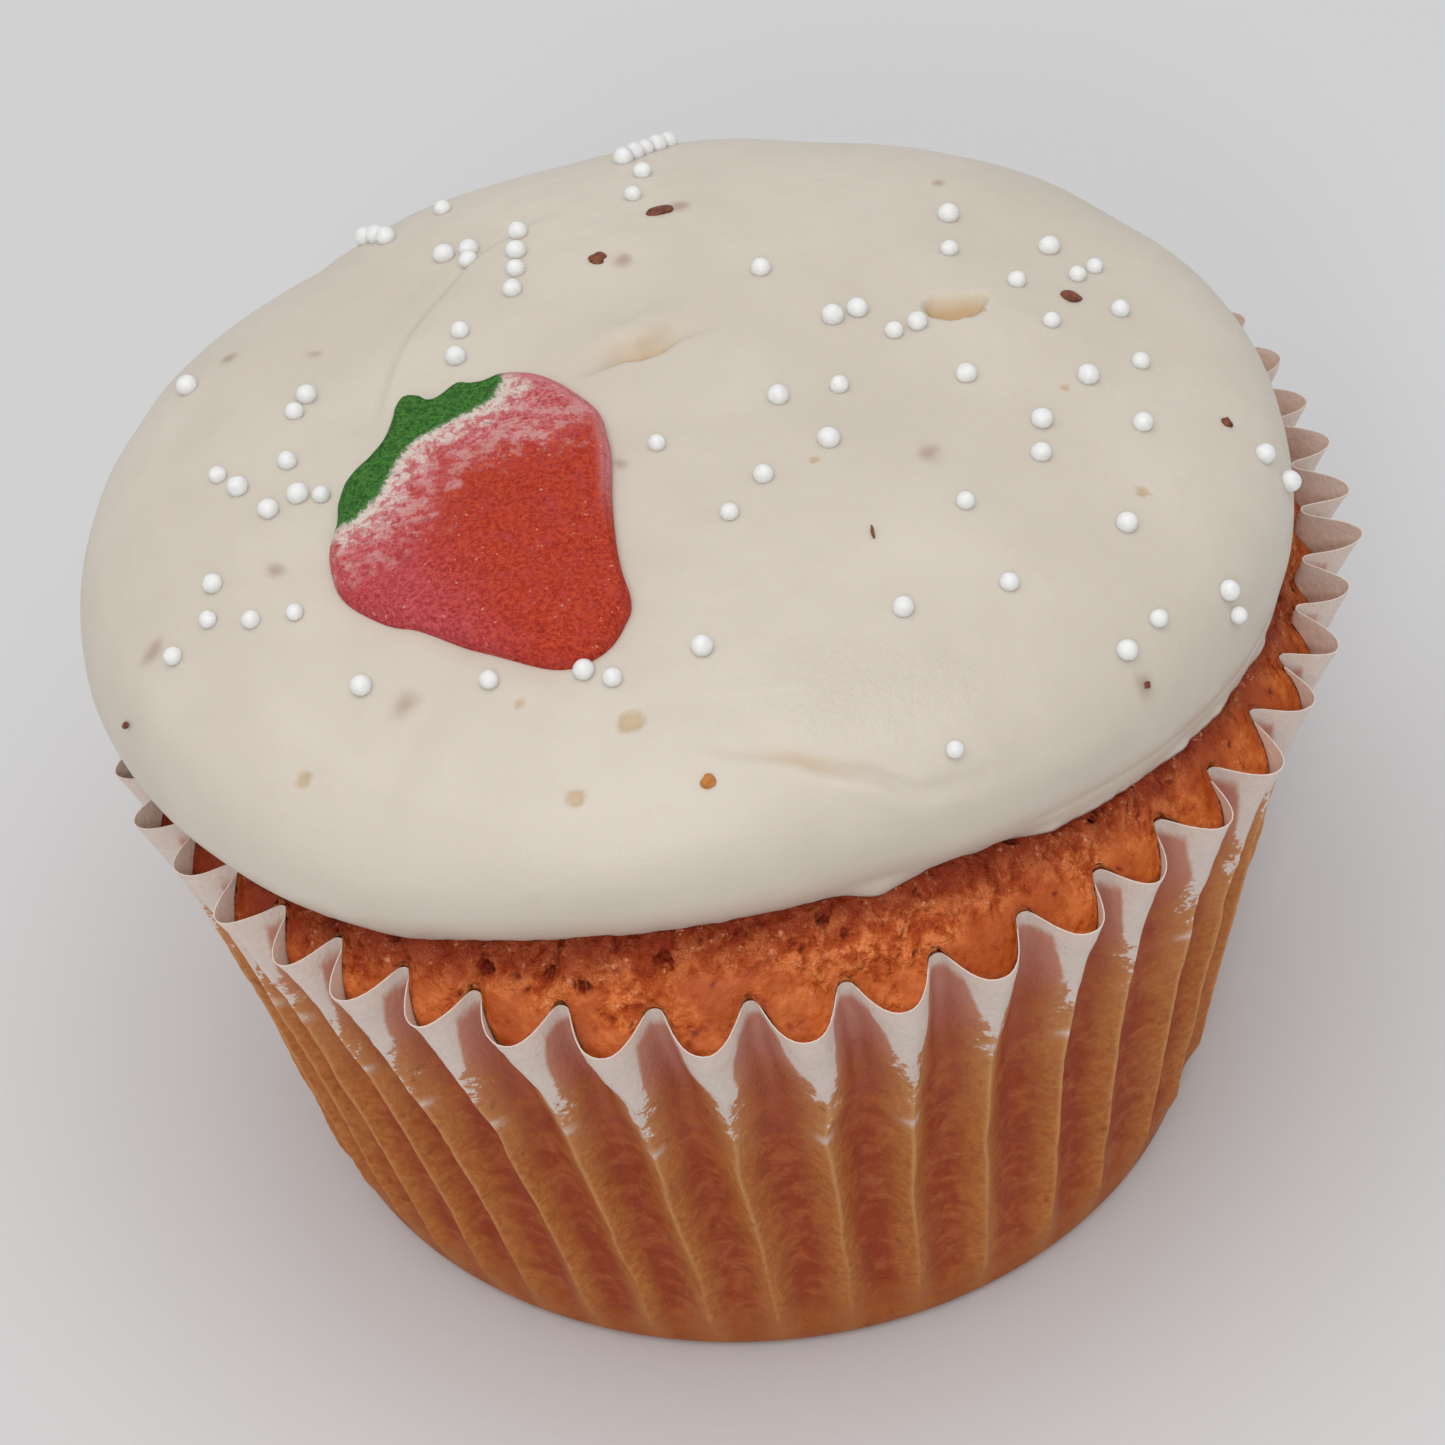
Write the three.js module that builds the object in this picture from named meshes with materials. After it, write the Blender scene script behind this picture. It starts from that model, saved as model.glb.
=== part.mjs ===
// A frosted cupcake: a sponge cake baked in a fluted paper case, a thick cap of buttercream spread over its
// crown, and a flat strawberry of pressed sugar lying on the buttercream.
// Millimetres, +Z up. The origin is the middle of the case's flat base, and -Y is the front.
// A "turn" is the angle round the axis, from the front towards +X, in radians.

import * as THREE from 'three';

const TAU = 2 * Math.PI;
const rad = THREE.MathUtils.degToRad;
const { lerp } = THREE.MathUtils;

// Gap between pieces that touch in the real cupcake.
const GAP = 0.3;

// Paper case. Its wall is thicker than the real greaseproof paper, to be a solid.
const CASE_WALL = 0.4;
const RIM_HEIGHT = 37.3;
const BASE_RADIUS = 24.8;
const BASE_EDGE_HEIGHT = 1.0;
const FOLD_RADIUS_LOW = 25.6;
const FOLD_RADIUS_RIM = 31.8;
const WALL_HEIGHTS = [BASE_EDGE_HEIGHT, 14, 26, 32, RIM_HEIGHT];
const LOBE_DROP = 0.6;

// Flutes: folds lie close to the cake, lobes stand out between them.
const FLUTES = 45;
const CASE_COLUMNS = 4 * FLUTES;
const CAKE_COLUMNS = 2 * FLUTES;
const FLUTE_DEPTH_LOW = 0.5;
const FLUTE_DEPTH_GROWTH = 1.2;
const FLUTE_FLARE = 1.3;
const FLUTE_FLARE_POWER = 5;
const FLUTE_SHARPNESS = 1.8;
const FLUTE_TWIST = rad(6);
const FIRST_FOLD = rad(8.1);
const FLUTE_DRIFTS = [
  { waves: 1, size: rad(2.8), peak: rad(-26) },
  { waves: 2, size: rad(5.4), peak: rad(65) },
];

// The hand-pressed case and what it holds aren't quite round or central.
const BASE_OVAL = -0.5;
const RIM_OVAL = -1.55;
const RIM_SHIFT = 0.7;

// Cake. It fills part of each flute, and its crown runs down into the lobes at the rim.
const CAKE_FLUTE_SHARE = 0.5;
const CAKE_LOBE_SHARE = 0.7;
const CAKE_LOBE_HEIGHT = 35.2;
const CAKE_SIDE_HEIGHTS = [14, 26];
const CROWN_EDGE_HEIGHT = 36.5;
const CROWN_RISE = 9;
const CROWN_FULLNESS = 2.2;
const CROWN_SHARES = [0.985, 0.94, 0.85, 0.68, 0.38];

// Buttercream. Its footprint is a circle with a few long waves, and it overhangs the case on the left.
const FROSTING_TOP = 51.8;
const FROSTING_FULLNESS = 2.6;
const FROSTING_RADIUS = 30.7;
const FROSTING_WAVES = [
  { waves: 1, size: 2.4, peak: rad(-40) },
  { waves: 2, size: 2.6, peak: rad(-80) },
];
const FROSTING_TUCK = 1.3;
const FROSTING_EDGE_LIFT = 0.1;
const BULGE_TUCK = FROSTING_TUCK / 5;
const FROSTING_SIDE = 2.1;
const FROSTING_SIDE_WAVES = [{ waves: 1, size: 0.8, peak: 0 }];
const OVERHANG_HEIGHT = 38;
const FROSTING_COLUMNS = 72;
const FROSTING_TOP_ROWS = 10;
const UNDERSIDE_SHARES = [0.35, 0.6, 0.78, 0.88, 0.945, 0.98];

// The spatula's last sweep leaves a low step on the left, an arc about the middle, falling outwards.
const STEP_RADIUS = 17.3;
const STEP_WIDTH = 1.2;
const STEP_DROP = 0.5;
const STEP_MIDDLE = rad(-124);
const STEP_REACH = rad(34);
const STEP_FULL_SHARE = 0.6;
const STEP_FADE = 9;

// Sugar strawberry: its own axes have the tip towards -Y before it is turned and moved. The outline starts
// at the left shoulder, goes over the leaf cap's bumps and the right shoulder to the tip, and back up.
const BERRY_OUTLINE = [
  [-7.8, 1.0], [-7.2, 3.2], [-5.6, 5.7], [-3.2, 7.7], [-1.1, 9.0], [0.3, 11.0], [1.4, 11.1], [2.1, 9.9],
  [3.6, 10.3], [4.7, 9.6], [6.4, 9.2], [8.1, 7.4], [9.1, 4.0], [8.3, 0.8], [6.5, -2.8], [5.0, -6.8],
  [4.3, -9.4], [2.5, -10.9], [0, -11.0], [-2.6, -8.7], [-4.7, -5.5], [-6.6, -3.3],
];
const BERRY_CENTRE = { x: -12.3, y: -10.1 };
const BERRY_TURN = rad(24);
const BERRY_COLUMNS = 64;
const BERRY_ROWS = [
  { share: 0.97, height: 0 },
  { share: 1.0, height: 0.35 },
  { share: 0.99, height: 0.75 },
  { share: 0.94, height: 1.05 },
  { share: 0.7, height: 1.2 },
];

// A point at a turn and radius about the axis through (centreX, 0).
function around(turn, radius, height, centreX = 0) {
  return new THREE.Vector3(centreX + radius * Math.sin(turn), -radius * Math.cos(turn), height);
}

// The sum of cosine waves, each with its count round the circle, its size and the turn of its peak.
function waveSum(waves, turn) {
  return waves.reduce((sum, wave) => sum + wave.size * Math.cos(wave.waves * (turn - wave.peak)), 0);
}

// Height of a rounded dome of unit rise at a share of its radius. A higher fullness has a squarer shoulder.
function domeRise(share, fullness) {
  return (1 - Math.min(share, 1) ** fullness) ** (1 / fullness);
}

// A smooth 0 to 1 step.
function blend(value, low, high) {
  return THREE.MathUtils.smoothstep(value, low, high);
}

// One closed surface: a fan from the first pole, bands between the rings, and a fan to the last pole.
// Rings run anticlockwise seen from above, and from the bottom of the outside up.
function ringSolid(firstPole, rings, lastPole) {
  const columns = rings[0].length;
  const points = [firstPole, ...rings.flat(), lastPole];
  const last = points.length - 1;
  const triangles = [];
  const place = (ring, column) => 1 + ring * columns + (column % columns);
  for (let column = 0; column < columns; column += 1) {
    triangles.push(0, place(0, column + 1), place(0, column));
    for (let ring = 0; ring < rings.length - 1; ring += 1) {
      const a = place(ring, column);
      const b = place(ring, column + 1);
      const c = place(ring + 1, column + 1);
      const d = place(ring + 1, column);
      triangles.push(a, b, c, a, c, d);
    }
    triangles.push(last, place(rings.length - 1, column), place(rings.length - 1, column + 1));
  }
  const geometry = new THREE.BufferGeometry().setFromPoints(points);
  geometry.setIndex(triangles);
  geometry.computeVertexNormals();
  return geometry;
}

function ringOf(columns, pointAt) {
  return Array.from({ length: columns }, (_, column) => pointAt(column));
}

// ---- Paper case ----

// How far up the wall a height is: 0 at the base, 1 at the rim.
function levelOf(height) {
  return Math.min(height / RIM_HEIGHT, 1);
}

// The turn of a flute at a level. Whole numbers are folds, and the flutes lean round as they go down.
function fluteTurn(flute, level) {
  const even = (flute / FLUTES) * TAU;
  return FIRST_FOLD + even + waveSum(FLUTE_DRIFTS, even) + FLUTE_TWIST * (1 - level);
}

// 0 on a fold and 1 on a lobe. Lobes are narrow ridges low down and wide waves at the rim.
function lobeShare(flute, level) {
  const ridge = Math.sin(Math.PI * flute) ** 2;
  return lerp(ridge ** FLUTE_SHARPNESS, 1 - (1 - ridge) ** FLUTE_SHARPNESS, level);
}

function fluteDepth(level) {
  return FLUTE_DEPTH_LOW + FLUTE_DEPTH_GROWTH * level + FLUTE_FLARE * level ** FLUTE_FLARE_POWER;
}

// Radius of the case's outer fold line, oval along X at the base and along a diagonal at the rim.
function foldRadius(turn, level) {
  const oval = lerp(BASE_OVAL * Math.cos(2 * turn), RIM_OVAL * Math.sin(2 * turn), level);
  return lerp(FOLD_RADIUS_LOW, FOLD_RADIUS_RIM, level) + oval;
}

// A point on the wall: depthShare is 1 on the paper's outside, and inset moves it inwards.
function wallPoint(flute, height, inset = 0, depthShare = 1) {
  const level = levelOf(height);
  const turn = fluteTurn(flute, level);
  const radius = foldRadius(turn, level) + depthShare * fluteDepth(level) * lobeShare(flute, level) - inset;
  return around(turn, radius, height, RIM_SHIFT * level);
}

function caseRing(height, inset) {
  return ringOf(CASE_COLUMNS, (column) => {
    const flute = (column / CASE_COLUMNS) * FLUTES;
    const point = wallPoint(flute, height, inset);
    point.z -= height === RIM_HEIGHT ? LOBE_DROP * lobeShare(flute, 1) : 0;
    return point;
  });
}

function baseRing(columns, radius, height) {
  return ringOf(columns, (column) => {
    const turn = fluteTurn((column / columns) * FLUTES, 0);
    return around(turn, radius + BASE_OVAL * Math.cos(2 * turn), height);
  });
}

function paperCase() {
  const outside = WALL_HEIGHTS.map((height) => caseRing(height, 0));
  const inside = WALL_HEIGHTS.map((height) => caseRing(height, CASE_WALL));
  inside[0] = inside[0].map((point) => point.setZ(BASE_EDGE_HEIGHT + CASE_WALL / 2));
  const rings = [
    baseRing(CASE_COLUMNS, BASE_RADIUS, 0),
    ...outside,
    ...inside.reverse(),
    baseRing(CASE_COLUMNS, BASE_RADIUS - CASE_WALL, CASE_WALL),
  ];
  return ringSolid(new THREE.Vector3(0, 0, 0), rings, new THREE.Vector3(0, 0, CASE_WALL));
}

// ---- Cake ----

function crownRadius(turn) {
  return foldRadius(turn, levelOf(CROWN_EDGE_HEIGHT)) - CASE_WALL - GAP;
}

// Height of the cake's crown, as a dome about the rim's middle.
function crownHeight(x, y) {
  const turn = Math.atan2(x - RIM_SHIFT, -y);
  const share = Math.hypot(x - RIM_SHIFT, y) / crownRadius(turn);
  return CROWN_EDGE_HEIGHT + CROWN_RISE * domeRise(share, CROWN_FULLNESS);
}

function cake() {
  const inset = CASE_WALL + GAP;
  const sides = [BASE_EDGE_HEIGHT + inset, ...CAKE_SIDE_HEIGHTS].map((height) => (
    ringOf(CAKE_COLUMNS, (column) => wallPoint(column / 2, height, inset, CAKE_FLUTE_SHARE))
  ));
  const edge = ringOf(CAKE_COLUMNS, (column) => {
    const height = column % 2 === 0 ? CROWN_EDGE_HEIGHT : CAKE_LOBE_HEIGHT;
    return wallPoint(column / 2, height, inset, CAKE_LOBE_SHARE);
  });
  const crown = CROWN_SHARES.map((share) => ringOf(CAKE_COLUMNS, (column) => {
    const turn = fluteTurn(column / 2, 1);
    const height = CROWN_EDGE_HEIGHT + CROWN_RISE * domeRise(share, CROWN_FULLNESS);
    return around(turn, share * crownRadius(turn), height, RIM_SHIFT);
  }));
  const rings = [baseRing(CAKE_COLUMNS, BASE_RADIUS - inset, inset), ...sides, edge, ...crown];
  const top = new THREE.Vector3(RIM_SHIFT, 0, CROWN_EDGE_HEIGHT + CROWN_RISE);
  return ringSolid(new THREE.Vector3(0, 0, inset), rings, top);
}

// ---- Buttercream ----

function frostingRadius(turn) {
  return FROSTING_RADIUS + waveSum(FROSTING_WAVES, turn);
}

// Height of the underside: a gap above the crown, and clear of the case's rim where it overhangs.
function undersideHeight(x, y) {
  return Math.max(crownHeight(x, y) + GAP, OVERHANG_HEIGHT);
}

// Height of the frosting's lower edge at a turn.
function edgeHeight(turn) {
  const edge = around(turn, frostingRadius(turn) - FROSTING_TUCK, 0);
  return undersideHeight(edge.x, edge.y);
}

// Height of the bulging side, from the lower edge to the widest line. It is thickest at the front.
function sideHeight(turn) {
  return FROSTING_SIDE + waveSum(FROSTING_SIDE_WAVES, turn);
}

function sweepStep(turn, radius) {
  const away = Math.abs(Math.atan2(Math.sin(turn - STEP_MIDDLE), Math.cos(turn - STEP_MIDDLE)));
  const along = 1 - blend(away, STEP_REACH * STEP_FULL_SHARE, STEP_REACH);
  const outside = blend(radius, STEP_RADIUS - STEP_WIDTH / 2, STEP_RADIUS + STEP_WIDTH / 2);
  const fading = 1 - blend(radius, STEP_RADIUS + STEP_WIDTH, STEP_RADIUS + STEP_FADE);
  return -STEP_DROP * along * outside * fading;
}

function frostingHeight(x, y) {
  const turn = Math.atan2(x, -y);
  const radius = Math.hypot(x, y);
  const side = edgeHeight(turn) + sideHeight(turn);
  const rise = domeRise(radius / frostingRadius(turn), FROSTING_FULLNESS);
  return side + (FROSTING_TOP - side) * rise + sweepStep(turn, radius);
}

function frosting() {
  const ring = (pointAt) => ringOf(FROSTING_COLUMNS, (column) => pointAt((column / FROSTING_COLUMNS) * TAU));
  const underside = UNDERSIDE_SHARES.map((share) => ring((turn) => {
    const point = around(turn, share * (frostingRadius(turn) - FROSTING_TUCK), 0);
    return point.setZ(undersideHeight(point.x, point.y));
  }));
  const edge = ring((turn) => (
    around(turn, frostingRadius(turn) - FROSTING_TUCK, edgeHeight(turn) + FROSTING_EDGE_LIFT)
  ));
  const bulge = ring((turn) => (
    around(turn, frostingRadius(turn) - BULGE_TUCK, edgeHeight(turn) + sideHeight(turn) / 2)
  ));
  const top = Array.from({ length: FROSTING_TOP_ROWS }, (_, row) => {
    const slope = (row / FROSTING_TOP_ROWS) * (Math.PI / 2);
    const share = Math.cos(slope) ** (2 / FROSTING_FULLNESS);
    return ring((turn) => {
      const point = around(turn, share * frostingRadius(turn), 0);
      return point.setZ(frostingHeight(point.x, point.y));
    });
  });
  const middleUnder = new THREE.Vector3(0, 0, undersideHeight(0, 0));
  const middleTop = new THREE.Vector3(0, 0, FROSTING_TOP);
  return ringSolid(middleUnder, [...underside, edge, bulge, ...top], middleTop);
}

// ---- Sugar strawberry ----

// A flat piece that follows the frosting's curve, a gap above it.
function sugarStrawberry() {
  const corners = BERRY_OUTLINE.map(([x, y]) => new THREE.Vector3(x, y, 0));
  const outline = new THREE.CatmullRomCurve3(corners, true, 'centripetal').getSpacedPoints(BERRY_COLUMNS);
  outline.pop();
  outline.reverse();
  const up = new THREE.Vector3(0, 0, 1);
  const placed = (point, height) => {
    const moved = point.clone().applyAxisAngle(up, BERRY_TURN);
    moved.x += BERRY_CENTRE.x;
    moved.y += BERRY_CENTRE.y;
    return moved.setZ(frostingHeight(moved.x, moved.y) + GAP + height);
  };
  const rings = BERRY_ROWS.map(({ share, height }) => (
    outline.map((point) => placed(point.clone().multiplyScalar(share), height))
  ));
  const middle = new THREE.Vector3();
  return ringSolid(placed(middle, 0), rings, placed(middle, BERRY_ROWS.at(-1).height));
}

function piece(name, geometry, color, roughness) {
  const material = new THREE.MeshStandardMaterial({ color, roughness, metalness: 0 });
  const mesh = new THREE.Mesh(geometry, material);
  mesh.name = name;
  return mesh;
}

const group = new THREE.Group();
group.add(
  piece('paper_case', paperCase(), '#c79a7c', 0.6),
  piece('cake', cake(), '#b5602f', 0.75),
  piece('frosting', frosting(), '#efe5d3', 0.5),
  piece('sugar_strawberry', sugarStrawberry(), '#c93a2c', 0.7),
);

export default group;
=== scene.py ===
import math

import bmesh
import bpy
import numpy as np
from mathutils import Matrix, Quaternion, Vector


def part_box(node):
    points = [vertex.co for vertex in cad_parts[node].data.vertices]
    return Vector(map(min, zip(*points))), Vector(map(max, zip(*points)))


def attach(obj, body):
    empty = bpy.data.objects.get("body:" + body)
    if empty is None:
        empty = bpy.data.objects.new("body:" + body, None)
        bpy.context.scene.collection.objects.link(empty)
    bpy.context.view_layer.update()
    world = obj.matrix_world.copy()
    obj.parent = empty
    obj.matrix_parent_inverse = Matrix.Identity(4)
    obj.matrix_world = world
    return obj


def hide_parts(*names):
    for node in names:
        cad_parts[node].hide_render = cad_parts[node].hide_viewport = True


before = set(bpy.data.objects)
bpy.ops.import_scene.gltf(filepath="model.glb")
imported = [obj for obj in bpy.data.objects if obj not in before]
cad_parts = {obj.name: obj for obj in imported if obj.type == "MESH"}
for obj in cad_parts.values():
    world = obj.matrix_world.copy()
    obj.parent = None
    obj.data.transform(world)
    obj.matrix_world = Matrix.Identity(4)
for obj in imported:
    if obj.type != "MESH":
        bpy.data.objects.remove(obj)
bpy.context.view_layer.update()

# A frosted cupcake in its fluted paper case. Shapes are in millimetres, in the CAD's own frame: +Z up, -Y the
# front, and the origin in the middle of the case's base. A "turn" is the angle round the axis, from the front
# towards +X. Masks are numbers kept at a mesh's points, which the materials read to place their colours.
# Colours are linear RGB.

MM = 0.001
TAU = 2 * math.pi
rad = math.radians


def box_mm(node):
    """Lowest and highest corners of a CAD node, in millimetres."""
    low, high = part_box(node)
    return np.array(low) / MM, np.array(high) / MM


_, CASE_HIGH = box_mm("paper_case")
_, CAKE_HIGH = box_mm("cake")
FROSTING_LOW, FROSTING_HIGH = box_mm("frosting")
BERRY_LOW, BERRY_HIGH = box_mm("sugar_strawberry")


# ---- Numbers ----

def lerp(low, high, share):
    return low + (high - low) * share


def smooth(value, low, high):
    """0 below low, 1 above high, and a smooth step between."""
    share = np.clip((value - low) / (high - low), 0, 1)
    return share * share * (3 - 2 * share)


def bump(value, width):
    """1 at zero, falling away smoothly over the width on either side."""
    return np.exp(-(value / width) ** 2)


def wave_sum(waves, turn):
    return sum(size * np.cos(count * (turn - peak)) for count, size, peak in waves)


def dome_rise(share, fullness):
    return (1 - np.minimum(share, 1) ** fullness) ** (1 / fullness)


def around(turn, radius, height, centre_x=0.0):
    """Points at turns and radii about the axis through (centre_x, 0)."""
    turn, radius, height = np.broadcast_arrays(turn, radius, height)
    return np.stack([centre_x + radius * np.sin(turn), -radius * np.cos(turn), height], axis=-1)


def cell_value(cell, seed):
    """A repeatable number from 0 to 1 for each whole-number cell of an (..., 3) array."""
    mask = 0xFFFFFFFF
    mixed = cell[..., 0] * 73856093 ^ cell[..., 1] * 19349663 ^ cell[..., 2] * 83492791
    mixed = mixed ^ seed * 2971215073
    mixed = (mixed ^ (mixed >> 15)) * 1274126177 & mask
    mixed = (mixed ^ (mixed >> 13)) * 1597334677 & mask
    return ((mixed ^ (mixed >> 16)) & 0xFFFFFF) / 0xFFFFFF


def noise(points, size, seed):
    """Smooth noise from -1 to 1 with lumps of a size, or of a size along each axis."""
    scaled = np.asarray(points, float) / size
    cell = np.floor(scaled).astype(np.int64)
    part = scaled - cell
    part = part ** 3 * (part * (part * 6 - 15) + 10)
    total = np.zeros(scaled.shape[:-1])
    for corner in np.ndindex(2, 2, 2):
        weight = np.prod(np.where(np.array(corner) == 1, part, 1 - part), axis=-1)
        total += weight * cell_value(cell + np.array(corner), seed)
    return 2 * total - 1


def noises(points, *layers):
    """Noises added up. Each layer is a height, a size and a seed."""
    return sum(height * noise(points, size, seed) for height, size, seed in layers)


def turn_between(turn, middle):
    """The angle between two turns, whichever way round is shorter."""
    return np.abs(np.arctan2(np.sin(turn - middle), np.cos(turn - middle)))


def lengths_along(line):
    """The length of a line of points up to each of them."""
    return np.concatenate([[0], np.cumsum(np.hypot(*np.diff(line, axis=0).T))])


def evenly(points, lengths, count):
    """Evenly spaced points on a line, given its length up to each of its own. The last isn't repeated."""
    wanted = np.arange(count) / count * lengths[-1]
    return np.stack([np.interp(wanted, lengths, column) for column in points.T], axis=-1)


def line_place(x, y, line):
    """Signed distance from a broken line, positive on its left, and the share of the way along it."""
    line = np.array(line, float)
    starts = lengths_along(line)
    best = np.full(np.shape(x), np.inf)
    side = np.ones(np.shape(x))
    share = np.zeros(np.shape(x))
    for (x0, y0), (x1, y1), start, end in zip(line[:-1], line[1:], starts[:-1], starts[1:]):
        length = end - start
        ux, uy = (x1 - x0) / length, (y1 - y0) / length
        along = np.clip((x - x0) * ux + (y - y0) * uy, 0, length)
        distance = np.hypot(x - x0 - along * ux, y - y0 - along * uy)
        nearer = distance < best
        best = np.where(nearer, distance, best)
        side = np.where(nearer, np.sign(ux * (y - y0) - uy * (x - x0)), side)
        share = np.where(nearer, (start + along) / starts[-1], share)
    return best * side, share


# ---- Meshes ----

def ring_faces(low_start, low_count, high_start, high_count):
    """Faces between two rings. Both run anticlockwise seen from above, and start at the same turn."""
    if low_count == high_count:
        here = np.arange(low_count)
        there = (here + 1) % low_count
        quads = np.stack([low_start + here, low_start + there, high_start + there, high_start + here], axis=1)
        return quads.tolist()
    faces = []
    low = high = 0
    while low < low_count or high < high_count:
        low_point = low_start + low % low_count
        high_point = high_start + high % high_count
        if (low + 1) * high_count <= (high + 1) * low_count:
            faces.append((low_point, low_start + (low + 1) % low_count, high_point))
            low += 1
        else:
            faces.append((low_point, high_start + (high + 1) % high_count, high_point))
            high += 1
    return faces


def ring_body(name, bottom, rings, top, masks):
    """A closed body: a fan from the bottom point, bands between the rings, and a fan to the top point.

    Each mask is a list with one array for each ring. The two end points take the value of their nearest ring.
    """
    points = np.concatenate([[bottom], *rings, [top]])
    starts = np.cumsum([1] + [len(ring) for ring in rings])
    count = len(rings[0])
    faces = [(0, 1 + (column + 1) % count, 1 + column) for column in range(count)]
    for index in range(len(rings) - 1):
        faces += ring_faces(starts[index], len(rings[index]), starts[index + 1], len(rings[index + 1]))
    count = len(rings[-1])
    start = starts[-2]
    faces += [(len(points) - 1, start + column, start + (column + 1) % count) for column in range(count)]
    values = {
        mask: np.concatenate([[rows[0].mean()], *rows, [rows[-1].mean()]]) for mask, rows in masks.items()
    }
    return mesh_piece(name, points, faces, values)


def blank(rings):
    """A mask's rows for rings on which it is 0."""
    return [np.zeros(len(ring)) for ring in rings]


def add_object(name, data):
    thing = bpy.data.objects.new(name, data)
    bpy.context.scene.collection.objects.link(thing)
    return thing


def mesh_piece(name, points, faces, values=None):
    """A smooth-shaded mesh object from points in millimetres, with its masks."""
    mesh = bpy.data.meshes.new(name)
    mesh.from_pydata((np.asarray(points) * MM).tolist(), [], faces)
    mesh.polygons.foreach_set("use_smooth", np.ones(len(mesh.polygons), bool))
    for mask, numbers in (values or {}).items():
        layer = mesh.attributes.new(mask, "FLOAT", "POINT")
        layer.data.foreach_set("value", np.asarray(numbers, np.float32))
    mesh.update()
    return add_object(name, mesh)


def dress(piece, material, slot, *nodes):
    """Gives a piece its material and its place in the frame."""
    piece.data.materials.append(material)
    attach(piece, "root")
    if nodes:
        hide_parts(*nodes)
    return piece


# ---- Materials ----

def scatter(weight, radius, size):
    """The shader's settings for light that passes under the surface, with its reach in millimetres."""
    return {"Subsurface_Weight": weight, "Subsurface_Radius": radius, "Subsurface_Scale": size * MM}


class Surface:
    """Builds one procedural material. Sizes are in millimetres on the object."""

    def __init__(self, name):
        self.material = bpy.data.materials.new(name)
        self.material.use_nodes = True
        self.tree = self.material.node_tree
        self.tree.nodes.clear()
        self.place = self.node("ShaderNodeTexCoord").outputs["Object"]

    def node(self, kind, inputs=None, **settings):
        node = self.tree.nodes.new(kind)
        for key, value in settings.items():
            setattr(node, key, value)
        for socket, value in (inputs or {}).items():
            if isinstance(value, bpy.types.NodeSocket):
                self.tree.links.new(value, node.inputs[socket])
            else:
                node.inputs[socket].default_value = value
        return node

    def mask(self, name):
        return self.node("ShaderNodeAttribute", attribute_name=name).outputs["Fac"]

    def noise(self, size, detail=3, roughness=0.55, distortion=0.0, stretch=None):
        place = self.place
        if stretch:
            place = self.node("ShaderNodeMapping", {"Vector": place, "Scale": stretch}).outputs["Vector"]
        inputs = {"Vector": place, "Scale": 1 / (size * MM), "Detail": detail}
        inputs |= {"Roughness": roughness, "Distortion": distortion}
        return self.node("ShaderNodeTexNoise", inputs).outputs["Fac"]

    def cells(self, size):
        """Distance from the middle of the nearest cell."""
        inputs = {"Vector": self.place, "Scale": 1 / (size * MM)}
        return self.node("ShaderNodeTexVoronoi", inputs).outputs["Distance"]

    def step(self, value, low, high, start=0.0, end=1.0):
        """A smooth step from start to end as the value goes from low to high."""
        inputs = {"Value": value, "From Min": low, "From Max": high, "To Min": start, "To Max": end}
        return self.node("ShaderNodeMapRange", inputs, interpolation_type="SMOOTHSTEP").outputs["Result"]

    def math(self, operation, first, second):
        return self.node("ShaderNodeMath", {0: first, 1: second}, operation=operation).outputs["Value"]

    def plus(self, first, second):
        return self.math("ADD", first, second)

    def times(self, first, second):
        return self.math("MULTIPLY", first, second)

    def swing(self, value, size):
        """A noise's value made to swing about zero, by half the size either way."""
        return self.times(self.math("SUBTRACT", value, 0.5), size)

    def mix(self, share, first, second):
        """A colour from first to second."""
        inputs = {
            0: share,
            6: first if isinstance(first, bpy.types.NodeSocket) else (*first, 1),
            7: second if isinstance(second, bpy.types.NodeSocket) else (*second, 1),
        }
        return self.node("ShaderNodeMix", inputs, data_type="RGBA").outputs[2]

    def blend(self, value, low, high, first, second, most=1.0):
        """A colour from first towards second, as the value goes from low to high."""
        return self.mix(self.step(value, low, high, 0.0, most), first, second)

    def relief(self, height, depth, normal=None):
        inputs = {"Height": height, "Distance": depth * MM, "Strength": 1.0}
        if normal:
            inputs["Normal"] = normal
        return self.node("ShaderNodeBump", inputs).outputs["Normal"]

    def finish(self, **inputs):
        """Ends the material. Names are the shader's own, with _ for a space."""
        sockets = {name.replace("_", " "): value for name, value in inputs.items()}
        shader = self.node("ShaderNodeBsdfPrincipled", sockets)
        self.node("ShaderNodeOutputMaterial", {"Surface": shader.outputs["BSDF"]})
        return self.material


# ---- Paper case ----

# The same flutes as the CAD solid's, in thinner paper. A "level" is the share of the way up to the rim.
PAPER = 0.06
HIDDEN_GAP = 0.3
RIM_HEIGHT = CASE_HIGH[2]
BASE_RADIUS = 24.8
BASE_EDGE_HEIGHT = 1.0
MEAN_RADIUS = 30.0
FOLD_RADIUS_LOW = 25.6
FOLD_RADIUS_RIM = 31.8
BASE_OVAL = -0.5
RIM_OVAL = -1.55
RIM_SHIFT = 0.7
LOBE_DROP = 0.6
RIM_WAVER = 0.12
DROP_POWER = 8
FLUTES = 45
COLUMNS_PER_FLUTE = 20
FLUTE_DEPTH_LOW = 0.5
FLUTE_DEPTH_GROWTH = 1.2
FLUTE_FLARE = 1.3
FLUTE_FLARE_POWER = 5
FLUTE_TWIST = rad(6)
FOLD_CROWDING = 0.06
FIRST_FOLD = rad(8.1)
FLUTE_DRIFTS = [(1, rad(2.8), rad(-26)), (2, rad(5.4), rad(65))]
VALLEY_DEPTH = 0.45
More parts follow.
